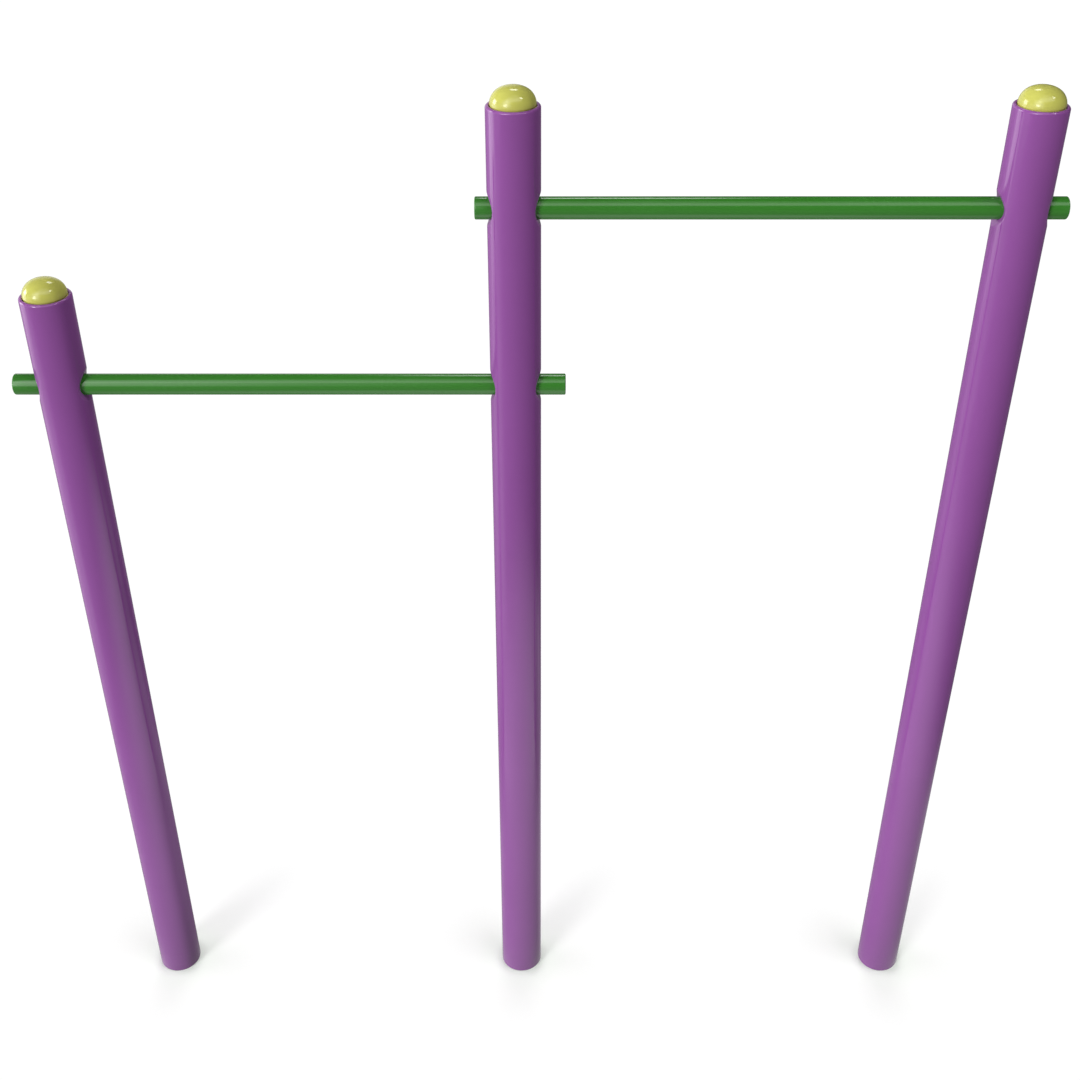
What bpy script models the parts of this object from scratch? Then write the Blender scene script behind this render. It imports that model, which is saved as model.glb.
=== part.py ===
"""Outdoor pull-up bar: three round posts in a line, and two level bars that pass through them.

Metres, +Z up. The origin is on the ground, at the centre of the middle post's foot. The posts stand
along X, the bars run along X, and the bolts that lock the bars enter from behind, at +Y.
"""

import math

import bmesh
import bpy
from mathutils import Vector

# Posts: round tubes, rounded at the rim and at the foot
POST_DIAMETER = 0.1016
POST_WALL = 0.0071
RIM_ROUNDING = 0.0058
FOOT_ROUNDING = 0.0048
BORE_EDGE_CHAMFER = 0.0005
LEFT_BAY = 0.908
RIGHT_BAY = 0.947

# Bars: round tubes, measured along their axes from the ground and out of the posts' faces
BAR_DIAMETER = 0.0424
BAR_WALL = 0.0032
BAR_END_ROUNDING = 0.0025
LOW_BAR_HEIGHT = 1.7083
BAR_STEP = 0.3678
RIM_ABOVE_BAR = 0.1924
LOW_BAR_LEFT_STICKOUT = 0.0455
LOW_BAR_RIGHT_STICKOUT = 0.0492
HIGH_BAR_LEFT_STICKOUT = 0.0227
HIGH_BAR_RIGHT_STICKOUT = 0.0327

# Dished mouths of the bar holes: the wall is drawn in towards the bar and leaves a short land
BAR_CLEARANCE = 0.0003
DISH_REACH_ABOVE = 0.0127
DISH_REACH_BESIDE = 0.0107
DISH_LAND = 0.0015
DISH_FULLNESS = 1.15

# Domed caps in the posts' tops
CAP_CLEARANCE = 0.0006
CAP_CROWN_HEIGHT = 0.0359
CAP_SUNK = 0.0020
CAP_FULLNESS = 2.3
CAP_SHELL = 0.0030
CAP_COLLAR = 0.0060
CAP_SKIRT_INSET = 0.0022
CAP_FIN_COUNT = 2
CAP_FIN_PITCH = 0.0070

# Plugs in the bars' ends
PLUG_CROWN_HEIGHT = 0.0016
PLUG_SHELL = 0.0022
PLUG_COLLAR = 0.0030
PLUG_SKIRT_INSET = 0.0014
PLUG_FIN_COUNT = 2
PLUG_FIN_PITCH = 0.0050
FIN_CLEARANCE = 0.0003
FIN_THICKNESS = 0.0015

# Discs that close the posts' feet
FOOT_DISC_THICKNESS = 0.0080
FOOT_DISC_CLEARANCE = 0.0003
DRAIN_HOLE_DIAMETER = 0.0100
DRAIN_HOLE_OFFSET = 0.0240

# Locking bolts, with a saddle washer outside the post and a tapped slug inside the bar
BOLT_DIAMETER = 0.0100
BOLT_HEAD_DIAMETER = 0.0175
BOLT_HEAD_HEIGHT = 0.0055
BOLT_HEAD_LAND = 0.0012
BOLT_SOCKET_ACROSS = 0.0060
BOLT_SOCKET_DEPTH = 0.0030
BOLT_PAST_AXIS = 0.0080
BOLT_TIP_CHAMFER = 0.0010
BOLT_HOLE_CLEARANCE = 0.0005
THREAD_CLEARANCE = 0.0003
WASHER_DIAMETER = 0.0220
WASHER_CROWN = 0.0025
SEAT_GAP = 0.0003
SLUG_LENGTH = 0.0360
SLUG_CLEARANCE = 0.0003
SLUG_CHAMFER = 0.0010

# Steps round each turned shape, and along its curves
POST_STEPS = 40
BAR_STEPS = 32
CAP_STEPS = 28
PLUG_STEPS = 18
DISC_STEPS = 24
BOLT_STEPS = 12
SLUG_STEPS = 16
HOLE_STEPS = 12
ROUNDING_STEPS = 3
CAP_CROWN_STEPS = 7
PLUG_CROWN_STEPS = 2
DISH_STATIONS = (0.0, 0.3, 1.0)
DISH_RUN_OUT = 0.2
CUTTER_MARGIN = 0.0050
ROUND_FULLNESS = 2.0
SHARP_ANGLE = math.radians(28)
MERGE_DISTANCE = 0.00002

# Sizes that follow from those above
POST_RADIUS = POST_DIAMETER / 2
BORE_RADIUS = POST_RADIUS - POST_WALL
BAR_RADIUS = BAR_DIAMETER / 2
BAR_BORE_RADIUS = BAR_RADIUS - BAR_WALL
HOLE_RADIUS = BAR_RADIUS + BAR_CLEARANCE
HIGH_BAR_HEIGHT = LOW_BAR_HEIGHT + BAR_STEP
SHORT_POST_HEIGHT = LOW_BAR_HEIGHT + RIM_ABOVE_BAR
TALL_POST_HEIGHT = HIGH_BAR_HEIGHT + RIM_ABOVE_BAR
BOLT_RADIUS = BOLT_DIAMETER / 2
WASHER_TOP = POST_RADIUS + SEAT_GAP + WASHER_CROWN
HEAD_SEAT = WASHER_TOP + SEAT_GAP

# Which bars each post carries, and where it stands
SHORT_POST_X = -LEFT_BAY
MIDDLE_POST_X = 0.0
TALL_POST_X = RIGHT_BAY
POSTS = {
    "short_post": (SHORT_POST_X, SHORT_POST_HEIGHT, {"low": LOW_BAR_HEIGHT}),
    "middle_post": (
        MIDDLE_POST_X,
        TALL_POST_HEIGHT,
        {"low": LOW_BAR_HEIGHT, "high": HIGH_BAR_HEIGHT},
    ),
    "tall_post": (TALL_POST_X, TALL_POST_HEIGHT, {"high": HIGH_BAR_HEIGHT}),
}
BARS = {
    "low_bar": (
        SHORT_POST_X - POST_RADIUS - LOW_BAR_LEFT_STICKOUT,
        MIDDLE_POST_X + POST_RADIUS + LOW_BAR_RIGHT_STICKOUT,
        LOW_BAR_HEIGHT,
        (SHORT_POST_X, MIDDLE_POST_X),
    ),
    "high_bar": (
        MIDDLE_POST_X - POST_RADIUS - HIGH_BAR_LEFT_STICKOUT,
        TALL_POST_X + POST_RADIUS + HIGH_BAR_RIGHT_STICKOUT,
        HIGH_BAR_HEIGHT,
        (MIDDLE_POST_X, TALL_POST_X),
    ),
}

# Turns that lay a shape's own +Z along the world's +X and +Y
ALONG_X = (0.0, math.pi / 2, 0.0)
ALONG_Y = (-math.pi / 2, 0.0, 0.0)

# Finishes: colour (linear), roughness, metallic
FINISHES = {
    "post_purple": ((0.262, 0.073, 0.328, 1.0), 0.30, 0.0),
    "bar_green": ((0.034, 0.195, 0.028, 1.0), 0.32, 0.0),
    "cap_lime": ((0.552, 0.546, 0.112, 1.0), 0.22, 0.0),
    "plug_green": ((0.030, 0.165, 0.026, 1.0), 0.45, 0.0),
    "bolt_steel": ((0.560, 0.565, 0.575, 1.0), 0.28, 1.0),
    "slug_steel": ((0.430, 0.440, 0.455, 1.0), 0.45, 1.0),
}


def clear_scene():
    """Takes every object out of the scene."""
    for obj in list(bpy.data.objects):
        bpy.data.objects.remove(obj, do_unlink=True)


def make_collection(name):
    """A new collection in the scene."""
    collection = bpy.data.collections.new(name)
    bpy.context.scene.collection.children.link(collection)
    return collection


def make_material(name):
    """A painted, moulded or metal finish from the list above."""
    colour, roughness, metallic = FINISHES[name]
    material = bpy.data.materials.new(name)
    material.use_nodes = True
    material.diffuse_color = colour
    shader = material.node_tree.nodes["Principled BSDF"]
    shader.inputs["Base Color"].default_value = colour
    shader.inputs["Roughness"].default_value = roughness
    shader.inputs["Metallic"].default_value = metallic
    return material


def arc(centre_r, centre_z, radius, start, end, steps):
    """Points of a round stretch of a profile, from angle start to angle end in degrees."""
    angles = [math.radians(start + (end - start) * i / steps) for i in range(steps + 1)]
    return [(centre_r + radius * math.cos(a), centre_z + radius * math.sin(a)) for a in angles]


def evaluated_mesh(obj):
    """The mesh that the object's modifiers give."""
    bpy.context.view_layer.update()
    graph = bpy.context.evaluated_depsgraph_get()
    return bpy.data.meshes.new_from_object(obj.evaluated_get(graph))


def turned_mesh(name, profile, steps, closed):
    """A profile of (radius, z) points turned about Z; it runs down the outer side first."""
    count = len(profile)
    edges = [(i, i + 1) for i in range(count - 1)]
    if closed:
        edges.append((count - 1, 0))
    outline = bpy.data.meshes.new(name + "_profile")
    outline.from_pydata([(r, 0.0, z) for r, z in profile], edges, [])
    holder = bpy.data.objects.new(name + "_profile", outline)
    bpy.context.scene.collection.objects.link(holder)
    screw = holder.modifiers.new("turn", "SCREW")
    screw.axis = "Z"
    screw.angle = 2 * math.pi
    screw.steps = steps
    screw.render_steps = steps
    screw.use_merge_vertices = True
    screw.merge_threshold = MERGE_DISTANCE
    mesh = evaluated_mesh(holder)
    mesh.name = name
    bpy.data.objects.remove(holder, do_unlink=True)
    bpy.data.meshes.remove(outline)
    return mesh


def place(name, mesh, collection, parent=None, location=(0.0, 0.0, 0.0), turn=(0.0, 0.0, 0.0)):
    """An object of this mesh at its place under its parent."""
    obj = bpy.data.objects.new(name, mesh)
    collection.objects.link(obj)
    obj.parent = parent
    obj.location = location
    obj.rotation_euler = turn
    return obj


def place_cutter(name, mesh, cutters, location=(0.0, 0.0, 0.0), turn=(0.0, 0.0, 0.0)):
    """A cutter, drawn as wire and left out of the finished object."""
    cutter = place(name, mesh, cutters, None, location, turn)
    cutter.hide_render = True
    cutter.display_type = "WIRE"
    return cutter


def cut(obj, cutters):
    """Cuts each cutter out of the object, and keeps the result as the object's own mesh."""
    for cutter in cutters:
        boolean = obj.modifiers.new(cutter.name, "BOOLEAN")
        boolean.operation = "DIFFERENCE"
        boolean.solver = "EXACT"
        boolean.object = cutter
    result = evaluated_mesh(obj)
    obj.modifiers.clear()
    obj.data = result


def dress(obj, material):
    """Gives the object its finish, smooth round faces and crisp edges."""
    obj.data.materials.clear()
    obj.data.materials.append(material)
    obj.data.shade_smooth()
    obj.data.set_sharp_from_angle(angle=SHARP_ANGLE)


def rod_mesh(name, radius, low, high, steps):
    """A plain cylinder about Z, from low to high."""
    mesh = bpy.data.meshes.new(name)
    work = bmesh.new()
    bmesh.ops.create_cone(
        work,
        cap_ends=True,
        segments=steps,
        radius1=radius,
        radius2=radius,
        depth=high - low,
    )
    bmesh.ops.translate(work, verts=work.verts, vec=(0.0, 0.0, (high + low) / 2))
    work.to_mesh(mesh)
    work.free()
    return mesh


def surface_x(tube_radius, ring_radius, angle):
    """How far along the bar's axis a tube's surface lies, at a ring's angle from the top."""
    across = ring_radius * math.sin(angle)
    return math.sqrt(tube_radius**2 - across**2)


def dish_depth(station):
    """Depth of the dish at a station from its throat (0) to its outer edge (1), as a share."""
    rest = (1.0 - station) ** DISH_FULLNESS
    return 1.0 - (1.0 - rest) ** (1.0 / DISH_FULLNESS)


def dish_point(station, angle):
    """(x, y, z) on a dish, at a station and an angle round the bar's axis from straight up."""
    reach = DISH_REACH_ABOVE + (DISH_REACH_BESIDE - DISH_REACH_ABOVE) * math.sin(angle) ** 2
    radius = HOLE_RADIUS + station * reach
    throat = surface_x(BORE_RADIUS, HOLE_RADIUS, angle) + DISH_LAND
    deepest = surface_x(POST_RADIUS, HOLE_RADIUS, angle) - throat
    x = surface_x(POST_RADIUS, radius, angle) - deepest * dish_depth(station)
    return Vector((x, radius * math.sin(angle), radius * math.cos(angle)))


def dish_rings():
    """Rings of points round the bar's axis, from the throat of a mouth out past the post."""
    angles = [2 * math.pi * (i + 0.5) / BAR_STEPS for i in range(BAR_STEPS)]
    rings = [[dish_point(station, angle) for angle in angles] for station in DISH_STATIONS]
    rings[-1] = [far + (far - near) * DISH_RUN_OUT for near, far in zip(rings[-2], rings[-1])]
    outside = POST_RADIUS + CUTTER_MARGIN
    rings.append([Vector((outside, point.y, point.z)) for point in rings[-1]])
    return rings


def dished_hole_mesh():
    """Cutter for a bar's way through a post: a bore with a dish at either mouth, lofted ring by ring."""
    right = dish_rings()
    left = [[Vector((-p.x, p.y, p.z)) for p in ring] for ring in reversed(right)]
    mesh = bpy.data.meshes.new("dished_hole")
    work = bmesh.new()
    rings = [[work.verts.new(point) for point in ring] for ring in left + right]
    for near, far in zip(rings, rings[1:]):
        for i in range(BAR_STEPS):
            j = (i + 1) % BAR_STEPS
            work.faces.new((near[i], near[j], far[j], far[i]))
    work.faces.new(rings[0])
    work.faces.new(rings[-1])
    bmesh.ops.recalc_face_normals(work, faces=work.faces)
    bmesh.ops.triangulate(work, faces=work.faces)
    work.to_mesh(mesh)
    work.free()
    return mesh


def post_profile(height, bar_heights):
    """Wall section of a post, with a ring above and below each bar to keep the long faces whole."""
    clear = HOLE_RADIUS + DISH_REACH_ABOVE + CUTTER_MARGIN
    edge = BORE_EDGE_CHAMFER
    profile = [(BORE_RADIUS + edge, height)]
    profile += arc(
        POST_RADIUS - RIM_ROUNDING, height - RIM_ROUNDING, RIM_ROUNDING, 90, 0, ROUNDING_STEPS
    )
    for z in sorted(bar_heights, reverse=True):
        profile += [(POST_RADIUS, z + clear), (POST_RADIUS, z - clear)]
    profile += arc(
        POST_RADIUS - FOOT_ROUNDING, FOOT_ROUNDING, FOOT_ROUNDING, 0, -90, ROUNDING_STEPS
    )
    profile += [(BORE_RADIUS + edge, 0.0), (BORE_RADIUS, edge), (BORE_RADIUS, height - edge)]
    return profile


def build_posts(collection, cutters, root, material):
    """The three posts, each with its dished bar holes and the bolt holes behind them."""
    hole = dished_hole_mesh()
    bolt_hole = rod_mesh(
        "post_bolt_hole",
        BOLT_RADIUS + BOLT_HOLE_CLEARANCE,
        BORE_RADIUS - CUTTER_MARGIN,
        POST_RADIUS + CUTTER_MARGIN,
        HOLE_STEPS,
    )
    posts = {}
    for name, (x, height, crossings) in POSTS.items():
        mesh = turned_mesh(name, post_profile(height, crossings.values()), POST_STEPS, True)
        post = place(name, mesh, collection, root, (x, 0.0, 0.0))
        tools = []
        for level, z in crossings.items():
            tag = name + "_" + level
            tools.append(place_cutter(tag + "_bar_way", hole, cutters, (x, 0.0, z)))
            tools.append(
                place_cutter(tag + "_bolt_way", bolt_hole, cutters, (x, 0.0, z), ALONG_Y)
            )
        cut(post, tools)
        dress(post, material)
        posts[name] = post
    return posts


def bar_profile(length):
    """Wall section of a bar, with both ends rounded."""
    turn = BAR_RADIUS - BAR_END_ROUNDING
    profile = [(BAR_BORE_RADIUS, length)]
    profile += arc(turn, length - BAR_END_ROUNDING, BAR_END_ROUNDING, 90, 0, ROUNDING_STEPS)
    profile += arc(turn, BAR_END_ROUNDING, BAR_END_ROUNDING, 0, -90, ROUNDING_STEPS)
    profile.append((BAR_BORE_RADIUS, 0.0))
    return profile


def build_bars(collection, cutters, root, material):
    """The two bars, drilled at the back where a bolt enters."""
    bolt_hole = rod_mesh(
        "bar_bolt_hole",
        BOLT_RADIUS + BOLT_HOLE_CLEARANCE,
        BAR_BORE_RADIUS - CUTTER_MARGIN,
        BAR_RADIUS + CUTTER_MARGIN,
        HOLE_STEPS,
    )
    bars = {}
    for name, (left, right, z, post_places) in BARS.items():
        mesh = turned_mesh(name, bar_profile(right - left), BAR_STEPS, True)
        bar = place(name, mesh, collection, root, (left, 0.0, z), ALONG_X)
        tools = [
            place_cutter(f"{name}_bolt_way_{i}", bolt_hole, cutters, (x, 0.0, z), ALONG_Y)
            for i, x in enumerate(post_places)
        ]
        cut(bar, tools)
        dress(bar, material)
        bars[name] = bar
    return bars


def crown(radius, height, base, fullness, steps):
    """Points down a domed face, from its top on the axis to its widest ring at base."""
    power = 2.0 / fullness
    points = [(0.0, base + height)]
    for i in range(1, steps):
        angle = math.pi / 2 * (1 - i / steps)
        points.append((radius * math.cos(angle) ** power, base + height * math.sin(angle) ** power))
    points.append((radius, base))
    return points


def skirt_profile(radius, top, skirt, tip, fins, pitch):
    """The outer side of a push-in skirt below its collar: grip fins, each sharp at its upper edge."""
    step = radius - skirt
    profile = [(radius, top), (skirt, top - step)]
    z = top - step
    for _ in range(fins):
        z -= pitch
        profile += [(tip, z + FIN_THICKNESS), (skirt, z)]
    profile.append((skirt, z - step))
    return profile


def build_caps(collection, posts, material):
    """The domed cap in each post's top, all from one mesh."""
    radius = BORE_RADIUS - CAP_CLEARANCE
    skirt = radius - CAP_SKIRT_INSET
    inner = skirt - CAP_SHELL
    tip = BORE_RADIUS - FIN_CLEARANCE
    profile = crown(radius, CAP_CROWN_HEIGHT, -CAP_SUNK, CAP_FULLNESS, CAP_CROWN_STEPS)
    profile += skirt_profile(radius, -CAP_SUNK - CAP_COLLAR, skirt, tip, CAP_FIN_COUNT, CAP_FIN_PITCH)
    profile.append((inner, profile[-1][1]))
    hollow = crown(inner, CAP_CROWN_HEIGHT, -CAP_SUNK - CAP_SHELL, CAP_FULLNESS, ROUNDING_STEPS)
    profile += reversed(hollow)
    mesh = turned_mesh("domed_cap", profile, CAP_STEPS, False)
    for name, (_, height, _) in POSTS.items():
        cap = place(name + "_cap", mesh, collection, posts[name], (0.0, 0.0, height))
        dress(cap, material)


def build_plugs(collection, bars, material):
    """The plug in each end of each bar, all from one mesh."""
    radius = BAR_BORE_RADIUS - FIN_CLEARANCE
    skirt = radius - PLUG_SKIRT_INSET
    inner = skirt - PLUG_SHELL
    shoulder = -PLUG_CROWN_HEIGHT
    profile = crown(radius, PLUG_CROWN_HEIGHT, shoulder, ROUND_FULLNESS, PLUG_CROWN_STEPS)
    profile += skirt_profile(
        radius, shoulder - PLUG_COLLAR, skirt, radius, PLUG_FIN_COUNT, PLUG_FIN_PITCH
    )
    profile.append((inner, profile[-1][1]))
    profile += [(inner, shoulder - PLUG_SHELL), (0.0, shoulder - PLUG_SHELL)]
    mesh = turned_mesh("end_plug", profile, PLUG_STEPS, False)
    for name, (left, right, _, _) in BARS.items():
        ends = {"left": (0.0, (math.pi, 0.0, 0.0)), "right": (right - left, (0.0, 0.0, 0.0))}
        for side, (along, turn) in ends.items():
            plug = place(f"{name}_{side}_plug", mesh, collection, bars[name], (0, 0, along), turn)
            dress(plug, material)


def build_feet(collection, cutters, posts, material):
    """The disc that closes each post's foot, with its drain hole, all from one mesh."""
    radius = BORE_RADIUS - FOOT_DISC_CLEARANCE
    profile = [(0.0, FOOT_DISC_THICKNESS), (radius, FOOT_DISC_THICKNESS), (radius, 0.0), (0.0, 0.0)]
    drain = rod_mesh(
        "drain_hole",
        DRAIN_HOLE_DIAMETER / 2,
        -CUTTER_MARGIN,
        FOOT_DISC_THICKNESS + CUTTER_MARGIN,
        HOLE_STEPS,
    )
    pattern = place("foot_disc", turned_mesh("foot_disc", profile, DISC_STEPS, False), collection)
    cut(pattern, [place_cutter("foot_drain_way", drain, cutters, (0.0, DRAIN_HOLE_OFFSET, 0.0))])
    mesh = pattern.data
    bpy.data.objects.remove(pattern, do_unlink=True)
    for name, post in posts.items():
        foot = place(name + "_foot", mesh, collection, post)
        dress(foot, material)


def bolt_profile():
    """Section of a button-head bolt, head up, with its seat at z = 0."""
    length = HEAD_SEAT + BOLT_PAST_AXIS
    head = BOLT_HEAD_DIAMETER / 2
    rise = BOLT_HEAD_HEIGHT - BOLT_HEAD_LAND
    profile = crown(head, rise, BOLT_HEAD_LAND, ROUND_FULLNESS, ROUNDING_STEPS)
    profile += [(head, 0.0), (BOLT_RADIUS, 0.0), (BOLT_RADIUS, BOLT_TIP_CHAMFER - length)]
    profile += [(BOLT_RADIUS - BOLT_TIP_CHAMFER, -length), (0.0, -length)]
    return profile


def bolt_mesh(collection, cutters):
    """The bolt with its six-sided socket."""
    socket = rod_mesh(
        "bolt_socket",
        BOLT_SOCKET_ACROSS / math.sqrt(3),
        BOLT_HEAD_HEIGHT - BOLT_SOCKET_DEPTH,
        BOLT_HEAD_HEIGHT + CUTTER_MARGIN,
        6,
    )
    pattern = place("bolt", turned_mesh("bolt", bolt_profile(), BOLT_STEPS, False), collection)
    cut(pattern, [place_cutter("bolt_socket_way", socket, cutters)])
    mesh = pattern.data
    bpy.data.objects.remove(pattern, do_unlink=True)
    return mesh


def washer_mesh(collection, cutters):
    """The saddle washer: flat outside, and hollowed inside to sit on the round post."""
    inner = BOLT_RADIUS + BOLT_HOLE_CLEARANCE
    outer = WASHER_DIAMETER / 2
    low = surface_x(POST_RADIUS, outer, math.pi / 2) - SEAT_GAP
    profile = [(inner, WASHER_TOP), (outer, WASHER_TOP), (outer, low), (inner, low)]
    saddle = rod_mesh(
        "washer_saddle", POST_RADIUS + SEAT_GAP, -WASHER_DIAMETER, WASHER_DIAMETER, POST_STEPS
    )
    pattern = place("washer", turned_mesh("washer", profile, SLUG_STEPS, True), collection)
    cut(pattern, [place_cutter("washer_saddle_way", saddle, cutters, turn=ALONG_Y)])
    mesh = pattern.data
    bpy.data.objects.remove(pattern, do_unlink=True)
    return mesh


def slug_mesh(collection, cutters):
    """The slug that lies in the bar and takes the bolt across it."""
    radius = BAR_BORE_RADIUS - SLUG_CLEARANCE
    half = SLUG_LENGTH / 2
    chamfer = SLUG_CHAMFER
    profile = [(0.0, half), (radius - chamfer, half), (radius, half - chamfer)]
    profile += [(radius, chamfer - half), (radius - chamfer, -half), (0.0, -half)]
    tapping = rod_mesh(
        "slug_tapping", BOLT_RADIUS + THREAD_CLEARANCE, -BAR_RADIUS, BAR_RADIUS, BOLT_STEPS
    )
    pattern = place("slug", turned_mesh("slug", profile, SLUG_STEPS, False), collection)
    cut(pattern, [place_cutter("slug_tapping_way", tapping, cutters, turn=ALONG_Y)])
    mesh = pattern.data
    bpy.data.objects.remove(pattern, do_unlink=True)
    return mesh


def build_locks(collection, cutters, root, steel, dull_steel):
    """A bolt, a saddle washer and a slug at each crossing of a bar and a post."""
    bolt = bolt_mesh(collection, cutters)
    washer = washer_mesh(collection, cutters)
    slug = slug_mesh(collection, cutters)
    for name, (x, _, crossings) in POSTS.items():
        for level, z in crossings.items():
            tag = name.replace("post", level)
            dress(place(tag + "_bolt", bolt, collection, root, (x, HEAD_SEAT, z), ALONG_Y), steel)
            dress(place(tag + "_washer", washer, collection, root, (x, 0.0, z), ALONG_Y), steel)
            dress(place(tag + "_slug", slug, collection, root, (x, 0.0, z), ALONG_X), dull_steel)


def main():
    """Builds the pull-up bar."""
    clear_scene()
    collection = make_collection("pull_up_bar")
    cutters = make_collection("cutters")
    finish = {name: make_material(name) for name in FINISHES}
    root = bpy.data.objects.new("ground_centre", None)
    collection.objects.link(root)
    posts = build_posts(collection, cutters, root, finish["post_purple"])
    bars = build_bars(collection, cutters, root, finish["bar_green"])
    build_caps(collection, posts, finish["cap_lime"])
    build_plugs(collection, bars, finish["plug_green"])
    build_feet(collection, cutters, posts, finish["post_purple"])
    build_locks(collection, cutters, root, finish["bolt_steel"], finish["slug_steel"])


main()
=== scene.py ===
"""Looks of the outdoor pull-up bar: painted tubes, domed caps, end plugs and locking bolts."""

import logging
import math
from dataclasses import dataclass, field
from enum import Enum
from typing import Callable, Iterable, Sequence, Union

import bmesh
import bpy
from mathutils import Matrix, Vector


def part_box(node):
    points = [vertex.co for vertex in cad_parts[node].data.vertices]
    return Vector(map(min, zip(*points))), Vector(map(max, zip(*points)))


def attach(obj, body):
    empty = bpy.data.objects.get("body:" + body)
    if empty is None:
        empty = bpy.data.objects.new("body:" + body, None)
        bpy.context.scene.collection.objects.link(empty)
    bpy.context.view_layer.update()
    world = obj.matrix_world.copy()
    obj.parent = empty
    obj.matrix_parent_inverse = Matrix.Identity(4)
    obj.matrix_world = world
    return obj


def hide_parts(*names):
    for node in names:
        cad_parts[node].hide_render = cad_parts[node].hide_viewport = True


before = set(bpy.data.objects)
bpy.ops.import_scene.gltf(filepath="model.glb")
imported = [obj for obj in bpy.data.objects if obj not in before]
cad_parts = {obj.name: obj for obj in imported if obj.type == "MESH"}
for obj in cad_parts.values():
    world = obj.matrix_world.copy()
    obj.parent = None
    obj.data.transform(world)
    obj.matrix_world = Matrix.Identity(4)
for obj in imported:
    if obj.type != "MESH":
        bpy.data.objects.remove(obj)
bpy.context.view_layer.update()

LOG = logging.getLogger("pull_up_bar")
BODY = "root"
FULL_TURN = 2 * math.pi
Colour = tuple[float, float, float]
Span = tuple[float, float]

# Points closer together than this, in metres, become one.
WELD = 0.00001
# Edges that turn by more than this, in degrees, stay crisp.
CREASE = 30.0
# Points round a drill, and how far it reaches past each side of a wall.
DRILL_STEPS = 32
DRILL_PAST = 0.004
# The dish station of a point that lies on no dish.
OFF_DISH = -1.0
# Corners of the section of a grip fin or of a thread's ridge.
RIDGE_CORNERS = 4
# How strongly cured paint and moulded plastic bend light.
RESIN_IOR = 1.5
# The stretch of a noise between a finish's darkest and lightest clouds.
CLOUD_SPAN = (0.3, 0.7)
# A Mix node's colour sockets by number, because its other sockets have the same names.
MIX_SHARE, MIX_FIRST, MIX_SECOND, MIX_RESULT = 0, 6, 7, 2


# Node trees


class Field:
    """A value in a node tree that takes part in sums as a number does."""

    def __init__(self, graph: "Graph", socket: bpy.types.NodeSocket) -> None:
        """Keeps the tree and the socket that the value leaves by."""
        self.graph = graph
        self.socket = socket

    def __add__(self, other: "Value") -> "Field":
        """This value plus another."""
        return self.graph.math("ADD", self, other)

    def __sub__(self, other: "Value") -> "Field":
        """This value less another."""
        return self.graph.math("SUBTRACT", self, other)

    def __rsub__(self, other: "Value") -> "Field":
        """Another value less this one."""
        return self.graph.math("SUBTRACT", other, self)

    def __mul__(self, other: "Value") -> "Field":
        """This value times another."""
        return self.graph.math("MULTIPLY", self, other)

    def __truediv__(self, other: "Value") -> "Field":
        """This value over another."""
        return self.graph.math("DIVIDE", self, other)

    def __rtruediv__(self, other: "Value") -> "Field":
        """Another value over this one."""
        return self.graph.math("DIVIDE", other, self)

    def __pow__(self, other: "Value") -> "Field":
        """This value to a power."""
        return self.graph.math("POWER", self, other)

    def __neg__(self) -> "Field":
        """This value with its sign turned."""
        return self.graph.math("MULTIPLY", self, -1.0)

    def __abs__(self) -> "Field":
        """This value without its sign."""
        return self.graph.math("ABSOLUTE", self)


Value = Union[Field, float, int]


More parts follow.
